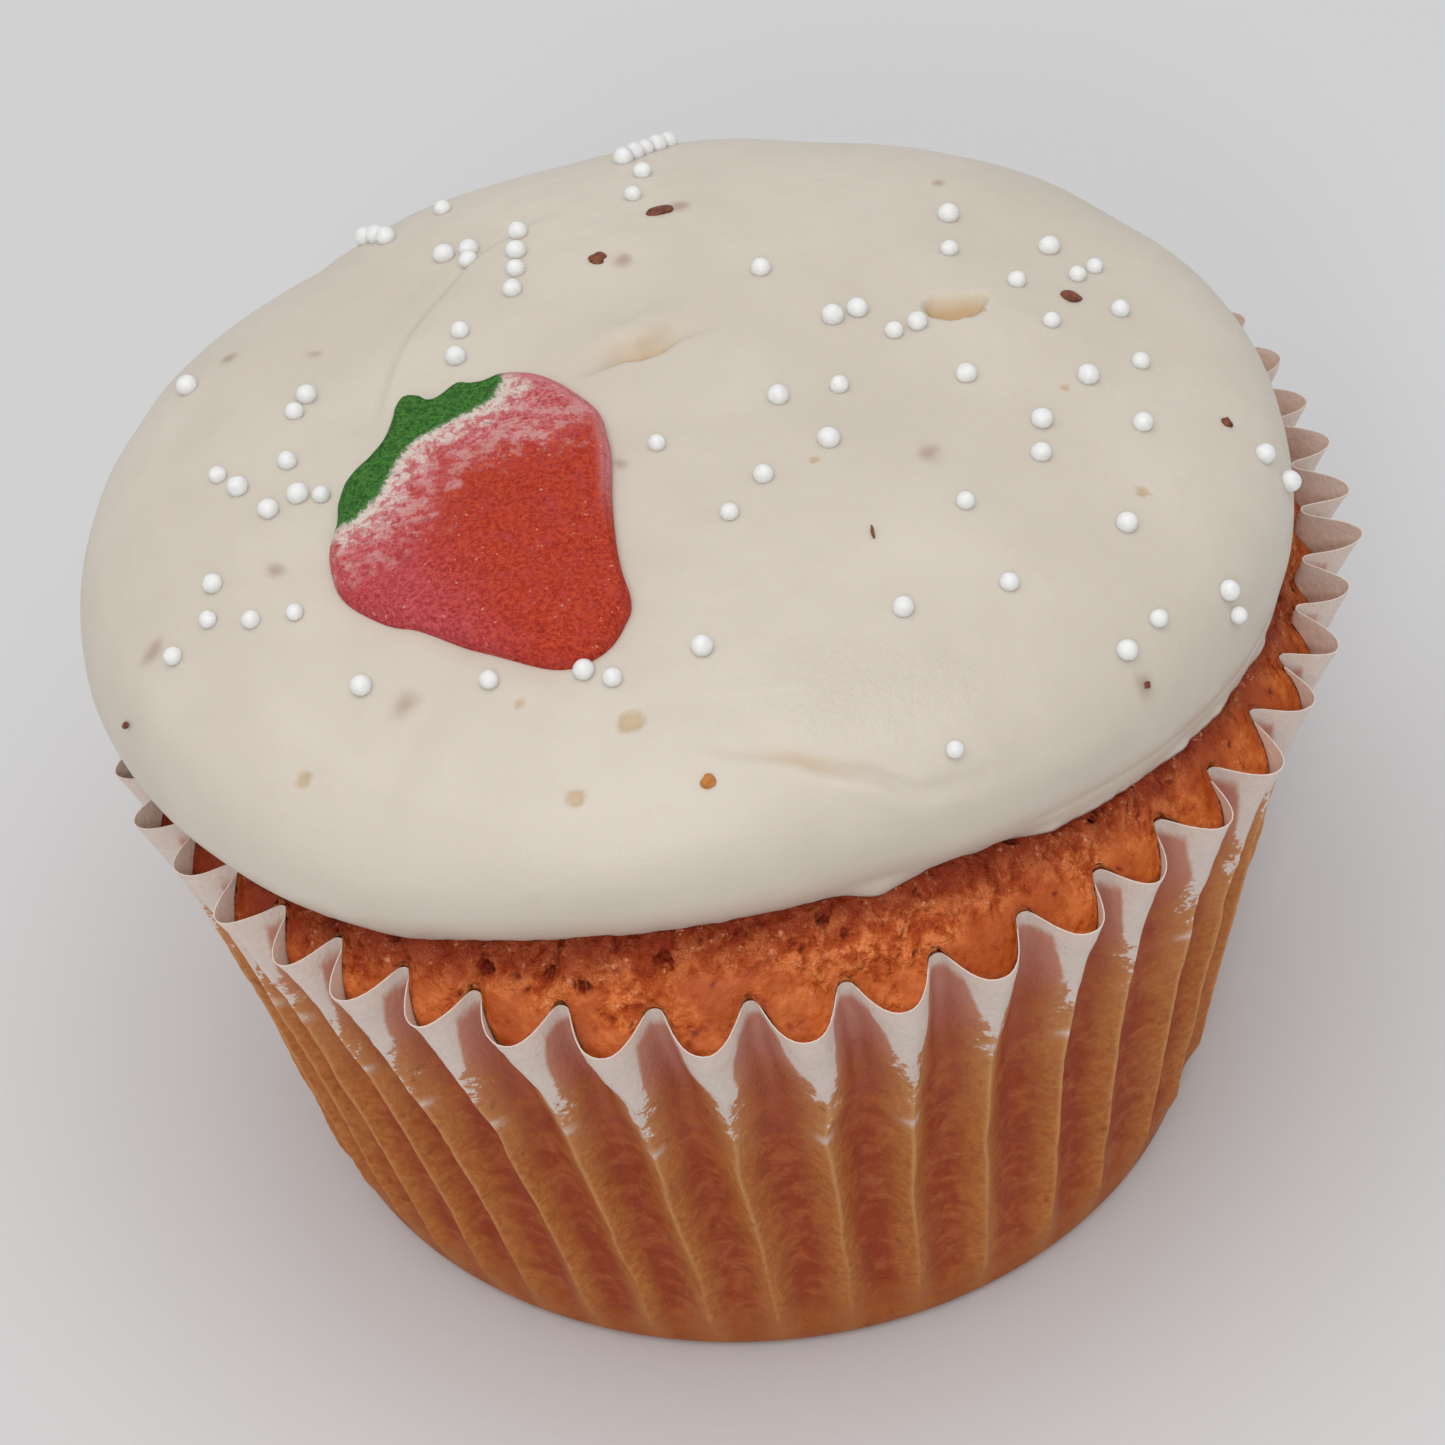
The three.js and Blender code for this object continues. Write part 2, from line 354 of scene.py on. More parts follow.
VALLEY_POWER = 0.7
CLING_LEVELS = (0.03, 0.12)
SWELL_LEVELS = (0.1, 0.8)

# A flute's profile, from 0 on its lobe to 1 in the fold beside it.
CREASE_REACH = 1.04
CREASE_ROUNDING = 0.05
DRAPE_REACH = 0.85
DRAPE_ROUNDING = 0.06
DRAPE_FULL = 0.852
DRAPE_POWER = 2.2
DRAPE_LEVELS = (0.62, 1.0)
DRAPE_ONSET = 0.8

# Rows of points. The inside is only finely made where it shows.
CORNER_ROWS = [0.0, 0.12, 0.4, 0.8]
WALL_ROWS = np.concatenate([CORNER_ROWS, np.linspace(1.4, 20, 27), np.linspace(20.5, RIM_HEIGHT, 42)])
SHOWN_ABOVE = 27.0
HIDDEN_ROWS = [0, 2, 6, 12, 20, 28, 36]
SHARP_ANGLE = rad(55)


def flute_turn(flute, level):
    """The turn of a flute at a level. Whole numbers are folds, and the flutes lean round as they go down."""
    even = flute / FLUTES * TAU
    return FIRST_FOLD + even + wave_sum(FLUTE_DRIFTS, even) + FLUTE_TWIST * (1 - level)


def fold_radius(turn, level):
    oval = lerp(BASE_OVAL * np.cos(2 * turn), RIM_OVAL * np.sin(2 * turn), level)
    return lerp(FOLD_RADIUS_LOW, FOLD_RADIUS_RIM, level) + oval


def flute_numbers(spread, seed):
    """One random number for each flute, within the spread either side of zero."""
    cells = np.zeros((FLUTES, 3), np.int64)
    cells[:, 0] = np.arange(FLUTES)
    return spread * (2 * cell_value(cells, seed) - 1)


FLUTE_SWELL = 1 + flute_numbers(0.14, 12)
FLUTE_LEAN = flute_numbers(0.07, 13)

# The stain's upper edge: its lowest point on each lobe, and how it climbs towards the folds. A glint is a
# small white patch that the stain has left below that point, on most flutes.
STAIN_POINT = 27.4 + flute_numbers(1.5, 11)
STAIN_RIM_SHARE = 0.66
STAIN_POWER = 1.2
STAIN_TOP = 36.0
GLINT_DROP = 2.2 + flute_numbers(1.5, 14)
GLINT_WIDTH = 0.17
GLINT_HEIGHT = 0.32
GLINTS = flute_numbers(1, 15) > -0.4


def lobe_profile(from_lobe, level):
    """1 on a flute's lobe and 0 in its fold: creased where the paper clings, and draped at the rim."""
    creased = (CREASE_REACH - np.hypot(from_lobe, CREASE_ROUNDING)) ** 2
    within = DRAPE_REACH - from_lobe
    within = 0.5 * (within + np.hypot(within, DRAPE_ROUNDING))
    draped = 1 - np.clip(1 - within / DRAPE_FULL, 0, 1) ** DRAPE_POWER
    return np.maximum(lerp(creased, draped, smooth(level, *DRAPE_LEVELS) ** DRAPE_ONSET), 0)


def wall_shape(height):
    """Turns and radii of the paper's outside at rows of heights, with how far each point is from its lobe."""
    flute = np.arange(FLUTES * COLUMNS_PER_FLUTE) / COLUMNS_PER_FLUTE
    number = np.floor(flute).astype(int)
    part = flute - number
    part = part - FOLD_CROWDING * np.sin(TAU * part)
    level = height / RIM_HEIGHT
    leaned = part + FLUTE_LEAN[number] * np.sin(math.pi * part) ** 2
    turn = flute_turn(number + leaned, level)
    flat = around(turn, MEAN_RADIUS, height)
    turn = turn + noises(flat, (0.012, (9, 9, 7), 21), (0.006, 3, 22)) * np.sqrt(level)

    from_lobe = np.abs(2 * part - 1) + 0 * height
    lobe = lobe_profile(from_lobe, level)
    depth = FLUTE_DEPTH_LOW + FLUTE_DEPTH_GROWTH * level + FLUTE_FLARE * level ** FLUTE_FLARE_POWER
    depth = depth * lerp(1, FLUTE_SWELL[number], smooth(level, *SWELL_LEVELS))
    clinging = smooth(level, *CLING_LEVELS)
    deeper = VALLEY_DEPTH * np.sin(math.pi * np.clip(level, 0, 1)) ** VALLEY_POWER
    radius = fold_radius(turn, level) + (depth * lobe - deeper * (1 - lobe)) * clinging
    flat = around(turn, radius, height)
    radius = radius + noises(flat, (0.10, (2.2, 2.2, 4.0), 23), (0.04, 0.8, 24)) * clinging
    return turn, radius, lobe, from_lobe, number


def case_wall(heights):
    """The outside of the wall as rows of points, with its masks."""
    height = heights[:, None] + np.zeros(FLUTES * COLUMNS_PER_FLUTE)
    level = height / RIM_HEIGHT
    turn, radius, lobe, from_lobe, number = wall_shape(height)
    corner = np.clip(height / BASE_EDGE_HEIGHT, 0, 1)
    base = BASE_RADIUS + BASE_OVAL * np.cos(2 * turn)
    radius = lerp(base, radius, np.sqrt(corner * (2 - corner)))
    waver = RIM_WAVER * (1 + noise(around(turn, radius, height), (2.5, 2.5, 400), 25))
    drop = (LOBE_DROP * lobe + waver) * level ** DROP_POWER
    points = around(turn, radius, height - drop, RIM_SHIFT * level)

    climb = (from_lobe / STAIN_RIM_SHARE) ** STAIN_POWER
    boundary = np.minimum(lerp(STAIN_POINT[number], RIM_HEIGHT - LOBE_DROP, climb), STAIN_TOP)
    from_glint = height - (STAIN_POINT[number] - GLINT_DROP[number])
    glint = bump(from_lobe, GLINT_WIDTH) * bump(from_glint, GLINT_HEIGHT) * GLINTS[number]
    masks = {"clean": height - boundary, "crest": 1 - from_lobe, "height": height, "glint": glint}
    return points, masks


def outward(points):
    """Unit normals of rows of points that run round a wall from the bottom up."""
    across = np.roll(points, -1, axis=1) - np.roll(points, 1, axis=1)
    up = np.gradient(points, axis=0)
    normal = np.cross(across, up)
    return normal / np.linalg.norm(normal, axis=-1, keepdims=True)


def make_case():
    outside, masks = case_wall(WALL_ROWS)
    gap = PAPER + HIDDEN_GAP * (1 - smooth(WALL_ROWS, SHOWN_ABOVE - 2, SHOWN_ABOVE + 1))
    inside = outside - gap[:, None, None] * outward(outside)
    inside[0, :, 2] = PAPER
    hidden = np.isin(WALL_ROWS, WALL_ROWS[HIDDEN_ROWS])
    kept = np.flatnonzero((WALL_ROWS > SHOWN_ABOVE) | hidden)[::-1]
    order = [("outside", row) for row in range(len(WALL_ROWS))] + [("inside", row) for row in kept]
    rings = [outside[row] if side == "outside" else inside[row] for side, row in order]
    values = {mask: [rows[row] for _, row in order] for mask, rows in masks.items()}
    values["inner"] = [np.full(len(outside[row]), float(side == "inside")) for side, row in order]
    piece = ring_body("case_paper", (0, 0, 0), rings, (0, 0, PAPER), values)
    piece.data.set_sharp_from_angle(angle=SHARP_ANGLE)
    return dress(piece, paper_material(), "greaseproof_paper", "paper_case")


VALLEY_COLORS = ((0.32, 0.046, 0.008), (0.42, 0.105, 0.052))
VALLEY_BLOTCH = (0.44, 0.110, 0.026)
RIDGE_COLORS = ((0.43, 0.120, 0.020), (0.54, 0.205, 0.048))
HIGH_RIDGE = (0.63, 0.31, 0.115)
CREST_HIGHLIGHT = (0.66, 0.36, 0.15)
LOW_TAN = (0.42, 0.125, 0.024)
GREASE = (0.19, 0.030, 0.007)
RIM_MAUVE = (0.60, 0.27, 0.225)
STAIN_EDGE = (0.60, 0.27, 0.17)
PAPER_WHITES = ((0.74, 0.605, 0.53), (0.79, 0.66, 0.59))


def paper_material():
    """Greaseproof paper: white where it stands free, stained by the cake where it clings."""
    paper = Surface("greaseproof_paper")
    height = paper.mask("height")
    crest = paper.mask("crest")
    blotch = paper.noise(1.5, detail=5, roughness=0.7, distortion=0.4)
    grain = paper.noise(0.45, detail=4, roughness=0.65)
    fibre = paper.noise(0.3, stretch=(1, 1, 0.6))
    broad = paper.noise(7)

    valley = paper.blend(height, 20, 32, *VALLEY_COLORS)
    valley = paper.blend(blotch, 0.42, 0.66, valley, VALLEY_BLOTCH)
    ridge = paper.blend(grain, 0.35, 0.65, *RIDGE_COLORS)
    ridge = paper.blend(height, 17, 29, ridge, HIGH_RIDGE, 0.5)
    stained = paper.blend(paper.plus(crest, paper.swing(blotch, 0.3)), 0.20, 1.0, valley, ridge)
    # Painted highlight: a thin lighter line along each crest's sharp fold.
    line = paper.times(paper.step(crest, 0.90, 0.99, 0.0, 0.5), paper.step(height, 5, 18, 0.3, 1.0))
    stained = paper.mix(line, stained, CREST_HIGHLIGHT)
    above_base = paper.plus(height, paper.times(broad, -7.0))
    stained = paper.blend(above_base, 2.0, -1.5, stained, LOW_TAN, 0.6)
    patches = paper.noise(1.1, detail=5, roughness=0.65, distortion=0.6)
    stained = paper.blend(patches, 0.56, 0.72, stained, GREASE, 0.45)
    stained = paper.blend(height, 28.5, RIM_HEIGHT - 1.5, stained, RIM_MAUVE, 0.8)

    # How far each place lies above the stain's edge, which is ragged at mid-height.
    ragged = paper.plus(paper.swing(blotch, 9.0), paper.swing(grain, 5.0))
    strength = paper.times(paper.step(height, 28.5, 32.5, 2.6, 0.1), paper.step(height, 22.5, 26.5))
    free = paper.plus(paper.mask("clean"), paper.times(ragged, strength))
    clean = paper.step(free, -0.6, 0.6)
    clean = paper.math("MAXIMUM", clean, paper.mask("glint"))
    clean = paper.math("MAXIMUM", clean, paper.step(paper.mask("inner"), 0.0, 1.0, 0.0, 0.97))
    white = paper.blend(grain, 0.3, 0.7, *PAPER_WHITES)
    stained = paper.blend(free, -3.2, 0.0, stained, STAIN_EDGE, 0.4)
    color = paper.mix(clean, stained, white)

    height_map = paper.plus(paper.times(blotch, 0.6), paper.times(fibre, 0.4))
    return paper.finish(
        Base_Color=color,
        Roughness=paper.step(grain, 0.2, 0.8, 0.36, 0.60),
        Specular_IOR_Level=0.15,
        Normal=paper.relief(height_map, 0.16),
        **scatter(0.2, (1.0, 0.7, 0.5), 0.4),
    )


# ---- Cake ----

CROWN_EDGE_HEIGHT = 36.5
CROWN_EDGE_LEVEL = CROWN_EDGE_HEIGHT / RIM_HEIGHT
CROWN_RISE = CAKE_HIGH[2] - CROWN_EDGE_HEIGHT
CROWN_FULLNESS = 2.2
CAD_CROWN_INSET = 0.7
CROWN_INSET = 0.35
CROWN_SKIRT_SHARE = 0.97
CROWN_SKIRT_SLOPE = 1.1
CAKE_SINK = 2.2
CAKE_BASE = 0.5
CAKE_BASE_INSET = 1.2

# Rows up the hidden side: first at heights, then at shares of the way to the crown's edge, each with its gap
# from the outside of the paper.
SIDE_HEIGHTS = np.array([1.4, 10, 18, 26, 31])
SIDE_CLIMB = np.array([0.35, 0.6, 0.8, 0.92, 1.0])
SIDE_INSETS = np.array([0.6, 0.6, 0.6, 0.6, 0.5, 0.4, 0.3, 0.2, 0.1, 0.05])

# The band of the crown that shows, from the paper inwards, and the plain rings that close it further in.
BAND_INNER_SHARE = 0.68
BAND_ROWS = 58
CAP_SHARES = (0.55, 0.4, 0.25, 0.12)
CAP_STEP = 5

# Open holes: how many, and their radii.
SMALL_HOLES = (700, 0.10, 0.22)
LARGE_HOLES = (190, 0.26, 0.56)
HOLE_COLUMNS = 14
HOLE_ROWS = 9
DEEPEST_HOLE = 0.6


def crown_radius(turn, inset):
    return fold_radius(turn, CROWN_EDGE_LEVEL) - inset


def dome_height(share):
    return CROWN_EDGE_HEIGHT + CROWN_RISE * dome_rise(share, CROWN_FULLNESS)


def crown_height(x, y):
    """Height of the plain crown, a dome about the rim's middle, as the CAD has it."""
    turn = np.arctan2(x - RIM_SHIFT, -y)
    return dome_height(np.hypot(x - RIM_SHIFT, y) / crown_radius(turn, CAD_CROWN_INSET))


def baked_height(radius, turn):
    """Height of the baked crown: the CAD's dome, and outside it a slope that runs down into the flutes."""
    full = crown_radius(turn, CAD_CROWN_INSET)
    share = radius / full
    skirt = CROWN_SKIRT_SLOPE * full * np.maximum(share - CROWN_SKIRT_SHARE, 0)
    return dome_height(np.minimum(share, CROWN_SKIRT_SHARE)) - skirt


def sunken(turn):
    """1 where the crown's edge lies low inside the paper, at the sides and the back, and 0 at the front."""
    return smooth(turn_between(turn, 0), rad(68), rad(84))


def cake_side():
    """The side inside the paper as rows of points, up to the crown's edge."""
    turn, radius, _, _, _ = wall_shape(np.full((1, FLUTES * COLUMNS_PER_FLUTE), 36.0))
    edge = baked_height(radius[0] - 0.25, turn[0]) - CAKE_SINK * sunken(turn[0])
    low = SIDE_HEIGHTS[:, None] + 0 * edge
    heights = np.concatenate([low, lerp(low[-1], edge, SIDE_CLIMB[:, None])])
    turn, radius, _, _, _ = wall_shape(heights)
    side = around(turn, radius, heights, RIM_SHIFT * heights / RIM_HEIGHT)
    side = side - SIDE_INSETS[:, None, None] * outward(side)
    return [around(turn[0], fold_radius(turn[0], 0) - CAKE_BASE_INSET, CAKE_BASE), *side]


def cake_crown(rim, turn):
    """The part of the crown that shows, as rows of points from its rim inwards, with its masks."""
    step = np.linspace(0, 1, BAND_ROWS)[:, None]
    full = crown_radius(turn, CROWN_INSET)
    radius = lerp(np.hypot(rim[:, 0] - RIM_SHIFT, rim[:, 1]), BAND_INNER_SHARE * full, step)
    sink = CAKE_SINK * sunken(turn) * (1 - smooth(step, 0.0, 0.35))
    band = around(turn, radius, baked_height(radius, turn) - sink, RIM_SHIFT)
    band[0] = rim
    upper = 1 - smooth(radius / full, 0.955, 1.05)
    x, y = band[..., 0], band[..., 1]
    # Painted shade: the crown is darkened close under the buttercream's edge.
    shade_under_frosting = 1 - smooth(np.hypot(x, y) - frosting_radius(np.arctan2(x, -y)), -1.0, 1.0)
    lumps = noises(band, (0.18, 2.6, 31)) + (0.35 + upper) * noises(band, (0.17, 1.2, 32), (0.12, 0.6, 33))
    lumps = lumps + upper * noises(band, (0.05, 0.36, 34))
    depth, hole_shade = cake_holes(band)
    band = band + outward(band) * ((lumps - depth) * smooth(step, 0.0, 0.06))[..., None]
    return band, {"shade_in_holes": hole_shade, "upper": upper, "shade_under_frosting": shade_under_frosting}


def make_cake():
    side = cake_side()
    rim = side.pop()
    turn = np.arctan2(rim[:, 0] - RIM_SHIFT, -rim[:, 1])
    band, masks = cake_crown(rim, turn)
    turn = turn[::CAP_STEP]
    radii = [share * crown_radius(turn, CROWN_INSET) for share in CAP_SHARES]
    cap = [around(turn, radius, baked_height(radius, turn), RIM_SHIFT) for radius in radii]
    values = {mask: blank(side) + list(rows) + blank(cap) for mask, rows in masks.items()}
    top = (RIM_SHIFT, 0, CAKE_HIGH[2])
    piece = ring_body("sponge_cake", (0, 0, CAKE_BASE), [*side, *band, *cap], top, values)
    return dress(piece, cake_material(), "sponge", "cake")


def cake_holes(band):
    """Depth of the crumb's open holes on the crown, and how much painted shade darkens each."""
    rng = np.random.default_rng(41)
    depth = np.zeros(band.shape[:2])
    hole_shade = np.zeros(band.shape[:2])
    sizes = np.concatenate([rng.uniform(low, high, count) for count, low, high in (SMALL_HOLES, LARGE_HOLES)])
    warp = [noises(band, (1, 0.45, seed), (0.6, 0.22, seed + 3)) for seed in (42, 43, 44)]
    warped = band + 0.16 * np.stack(warp, axis=-1)
    rows = rng.integers(4, BAND_ROWS - 1, len(sizes))
    columns = rng.integers(0, band.shape[1], len(sizes))
    stretches = rng.uniform(0.55, 1.0, len(sizes))
    for size, row, column, stretch in zip(sizes, rows, columns, stretches):
        near_columns = np.arange(column - HOLE_COLUMNS, column + HOLE_COLUMNS + 1) % band.shape[1]
        near_rows = np.arange(max(row - HOLE_ROWS, 0), min(row + HOLE_ROWS + 1, BAND_ROWS))
        region = np.ix_(near_rows, near_columns)
        offset = warped[region] - band[row, column]
        offset[..., 2] /= stretch
        pit = 1 - smooth(np.linalg.norm(offset, axis=-1) / size, 0.55, 1.25)
        depth[region] = np.maximum(depth[region], pit * min(size * 1.4, DEEPEST_HOLE))
        hole_shade[region] = np.maximum(hole_shade[region], pit)
    return depth, hole_shade


SKIN_COLORS = ((0.45, 0.084, 0.011), (0.57, 0.142, 0.022))
CRUMB_COLORS = ((0.56, 0.088, 0.013), (0.92, 0.255, 0.075))
CREVICE_SHADE = (0.34, 0.034, 0.004)
SPECKLE = (0.42, 0.055, 0.008)
HOLE_SHADE_COLOR = (0.21, 0.018, 0.003)
SHADE_UNDER_FROSTING_COLOR = (0.24, 0.018, 0.003)
WET_GLINT_HIGHLIGHT = (0.92, 0.44, 0.26)


def cake_material():
    """Moist sponge: an orange skin below, and an open, pinker crumb towards the buttercream."""
    cake = Surface("sponge")
    broad = cake.noise(4.0, detail=4, roughness=0.6)
    crumb = cake.noise(0.95, detail=4, roughness=0.62, distortion=0.15)
    fine = cake.noise(0.20, roughness=0.6)
    skin = cake.blend(broad, 0.40, 0.60, *SKIN_COLORS)
    open_crumb = cake.blend(crumb, 0.44, 0.60, *CRUMB_COLORS)
    patch = cake.plus(cake.mask("upper"), cake.swing(broad, 3.4))
    color = cake.blend(patch, -0.3, 1.2, skin, open_crumb)
    # Painted shade: darker where the crumb's relief is low.
    color = cake.blend(crumb, 0.43, 0.33, color, CREVICE_SHADE, 0.7)
    color = cake.blend(fine, 0.58, 0.68, color, SPECKLE, 0.3)
    # Painted shade inside the open holes.
    color = cake.blend(cake.mask("shade_in_holes"), 0.1, 0.8, color, HOLE_SHADE_COLOR, 0.8)
    # Painted shade under the buttercream's edge.
    color = cake.mix(cake.times(cake.mask("shade_under_frosting"), 0.8), color, SHADE_UNDER_FROSTING_COLOR)
    # Painted highlights: small light glints on the wet crumb.
    painted_glints = cake.times(cake.step(cake.noise(0.42), 0.60, 0.70, 0.0, 0.6), cake.step(patch, 0.2, 0.6))
    painted_glints = cake.times(painted_glints, cake.step(crumb, 0.46, 0.54))
    color = cake.mix(painted_glints, color, WET_GLINT_HIGHLIGHT)
    rough_zone = cake.step(patch, 0.1, 0.7, 0.22, 1.0)
    pebbles = cake.step(cake.cells(0.55), 0.1, 0.75, 1.0, 0.0)
    height_map = cake.plus(cake.times(crumb, 0.9), cake.times(fine, 0.25))
    height_map = cake.plus(height_map, cake.times(pebbles, 0.25))
    height_map = cake.times(cake.math("SUBTRACT", height_map, 0.7), rough_zone)
    wet = cake.times(cake.step(crumb, 0.40, 0.60), cake.step(patch, 0.1, 0.7))
    return cake.finish(
        Base_Color=color,
        Roughness=cake.step(wet, 0.0, 1.0, 0.45, 0.12),
        Specular_IOR_Level=0.26,
        Normal=cake.relief(height_map, 0.85),
        **scatter(0.12, (1.0, 0.35, 0.15), 0.5),
    )


# ---- Buttercream ----

FROSTING_TOP = FROSTING_HIGH[2]
OVERHANG_HEIGHT = FROSTING_LOW[2]
FROSTING_FULLNESS = 2.6
FROSTING_RADIUS = 30.7
FROSTING_WAVES = [(1, 2.4, rad(-40)), (2, 2.6, rad(-80))]
FROSTING_TUCK = 1.3
FROSTING_SIDE = 2.1
FROSTING_SIDE_WAVE = 0.8
TYPICAL_RISE = 11.0
CAD_GAP = 0.3
SEAT = 0.15

# Rings. On the underside each has its share of the radius, and keeps one in so many of the edge's points.
EDGE_COLUMNS = 840
UNDERSIDE_RINGS = [(0.4, 7), (0.7, 4), (0.88, 2), (0.96, 1)]
UNDERSIDE_LIFT = 0.2
SIDE_ROWS = 16
TOP_SPACING = 0.22

# The lip that hangs down straight on the right, and the short skirt beside it at the front.
LIP_MIDDLE = rad(62)
LIP_REACH = rad(36)
SKIRT_TURN = rad(14)
SKIRT_WIDTH = rad(3.2)
SKIRT_SIZE = 0.4
SKIRT_DROP = 0.35

# The step that a knife's sweep has left on the left.
STEP_RADIUS = 17.3
STEP_WIDTH = 0.9
STEP_DROP = 0.5
STEP_FADE = 9
STEP_MIDDLE = rad(-119)
STEP_REACH = rad(40)
STEP_FULL_SHARE = 0.6

# Marks, in millimetres from the axis: lines as their corners, pits and stains as place and radius.
MIDDLE_FOLD = [
    (-8.0, -0.4), (-6.2, 0.5), (-5.0, 1.2), (-4.2, 1.45), (-3.1, 1.5), (-1.9, 2.1), (-0.8, 3.0), (1.2, 3.7),
]
FOLD_CENTRE = (-3.2, 2.6)
FRONT_CREASE = [
    (-2.6, -25.3), (-0.6, -25.7), (2.2, -26.4), (6.6, -27.0), (9.5, -27.6), (12.3, -26.6), (14.0, -25.6),
]
POCKET_CENTRE = (14.0, 4.6)
POCKET_HALF = (1.75, 1.35)
POCKET_DEPTH = 1.0
WET_CENTRE = (8.0, -22.4)
WET_HALF = (7.5, 3.4)
PIT_DEPTH = 0.30
PITS = [
    (-5.0, -23.6, 0.72), (-8.2, -27.0, 0.5), (-22.0, -22.5, 0.4), (5.5, -7.5, 0.3), (22.5, -9.4, 0.35),
    (19.2, -2.4, 0.25), (-10.6, -21.7, 0.3),
]
STAINS = [
    (11.5, -7.5, 0.95), (-16.4, -20.5, 1.0), (21.4, -20.1, 0.8), (-25.7, 8.5, 0.7), (-21.0, 6.9, 0.6),
    (-23.0, -10.3, 0.7), (-3.9, 10.3, 0.8), (-0.4, 15.1, 0.7), (20.5, 5.6, 0.6), (-4.6, -6.7, 0.6),
    (14.1, 16.2, 0.5), (-29.9, -12.3, 0.8),
]


def frosting_radius(turn):
    return FROSTING_RADIUS + wave_sum(FROSTING_WAVES, turn)


def edge_height(turn):
    """Height of the CAD solid's lower edge."""
    edge = around(turn, frosting_radius(turn) - FROSTING_TUCK, 0)
    return np.maximum(crown_height(edge[..., 0], edge[..., 1]) + CAD_GAP, OVERHANG_HEIGHT)


def side_height(turn):
    return FROSTING_SIDE + FROSTING_SIDE_WAVE * np.cos(turn)


def side_swell(turn, radius, height):
    return 0.12 * noise(around(turn, radius, height), (6, 6, 3), 73)


def sweep_step(turn, radius):
    along = 1 - smooth(turn_between(turn, STEP_MIDDLE), STEP_REACH * STEP_FULL_SHARE, STEP_REACH)
    wander = radius + 0.35 * noise(around(turn, radius, 0), 5, 51)
    outside = smooth(wander, STEP_RADIUS - STEP_WIDTH / 2, STEP_RADIUS + STEP_WIDTH / 2)
    fading = 1 - smooth(radius, STEP_RADIUS + STEP_WIDTH, STEP_RADIUS + STEP_FADE)
    return -STEP_DROP * along * outside * fading


def knife_lines(turn, radius):
    """Faint ripples along the knife's way round, strongest on the left."""
    swirl = np.stack([radius, 2.5 * turn, 0 * turn], axis=-1)
    strength = smooth(radius, 3, 8) * smooth(-np.sin(turn), -0.3, 0.6)
    return 0.05 * noise(swirl, 1.3, 54) * strength + 0.012 * noise(swirl, 0.7, 55)


def middle_fold(x, y, flat):
    """A fold that rises behind a line, with a hollow along it that is painted with yellow-brown shade."""
    distance, _ = line_place(x, y, MIDDLE_FOLD)
    distance = distance + 0.12 * noise(flat, 1.3, 63)
    across, along = x - FOLD_CENTRE[0], y - FOLD_CENTRE[1]
    taper = bump(across, 2.6) * bump(along, 3.6)
    behind = smooth(distance, -0.25, 0.25)
    crest = bump(distance - 2.4, 1.0)
    relief = taper * (0.42 * crest - 0.62 * behind * (1 - smooth(distance, 0.2, 1.8)))
    relief = relief + taper * crest * 0.07 * noise(flat, 0.7, 64)
    fading = 1 - 0.5 * smooth(distance, 0.2, 0.9) - 0.5 * smooth(distance, 0.9, 2.2)
    return relief, bump(across, 1.8) * behind * fading


def front_crease(x, y, flat):
    """A crease with a raised lip below it, deepest at its right end."""
    distance, share = line_place(x, y, FRONT_CREASE)
    distance = distance + 0.12 * noise(flat, 1.4, 56)
    taper = np.sin(math.pi * np.clip(share, 0.02, 0.98)) ** 0.6 * (np.abs(distance) < 4)
    taper = taper * (0.35 + 0.65 * smooth(share, 0.35, 0.75))
    relief = taper * (0.34 * bump(distance + 0.45, 0.55) - 0.46 * bump(distance - 0.25, 0.35))
    # The second value is a patch of painted yellow-brown shade in the crease.
    return relief, 0.5 * bump(distance - 0.3, 0.4) * bump(share - 0.36, 0.12)


def oval_place(x, y, centre, half, slant):
    """Places across and along an oval, 1 at its edge."""
    across, along = x - centre[0], y - centre[1]
    return across / half[0], (along - slant * across) / half[1]


def pocket(x, y, flat):
    """A pocket with a sharp edge, deep at the front and shallow at the back, painted with yellow-brown shade
    that is strongest at the front.
    """
    across, along = oval_place(x, y, POCKET_CENTRE, POCKET_HALF, 0.1)
    ragged = np.hypot(across, along) + 0.2 * noise(flat, 0.5, 57) * smooth(across, -0.2, 0.7)
    inside = 1 - smooth(ragged, 0.92, 1.0)
    roof = smooth(along, 0.9, -0.4)
    return -POCKET_DEPTH * inside * roof, inside * (0.05 + 1.35 * roof)


def small_pits(x, y, flat):
    relief = 0 * x
    hollow_shade = 0 * x
    ragged = 0.15 * noise(flat, 0.5, 61)
    for pit_x, pit_y, radius in PITS:
        inside = 1 - smooth(np.hypot(x - pit_x, (y - pit_y) * 1.25) / radius + ragged, 0.72, 1.22)
        relief = relief - PIT_DEPTH * radius * inside
        # Painted yellow-brown shade inside each pit.
        hollow_shade = np.maximum(hollow_shade, 0.75 * inside)
    return relief, hollow_shade


def wet_patch(x, y, flat):
    away = np.hypot(*oval_place(x, y, WET_CENTRE, WET_HALF, 0.12))
    return 1 - smooth(away + 0.3 * noise(flat, 2.5, 58), 0.55, 1.1)


def stains(x, y, flat):
    stain = 0 * x
    ragged = 0.3 * noise(flat, 0.7, 62)
    for stain_x, stain_y, radius in STAINS:
        share = np.hypot(x - stain_x, y - stain_y) / radius + ragged
        stain = np.maximum(stain, (1 - smooth(share, 0.0, 1.25)) ** 1.5)
    return stain


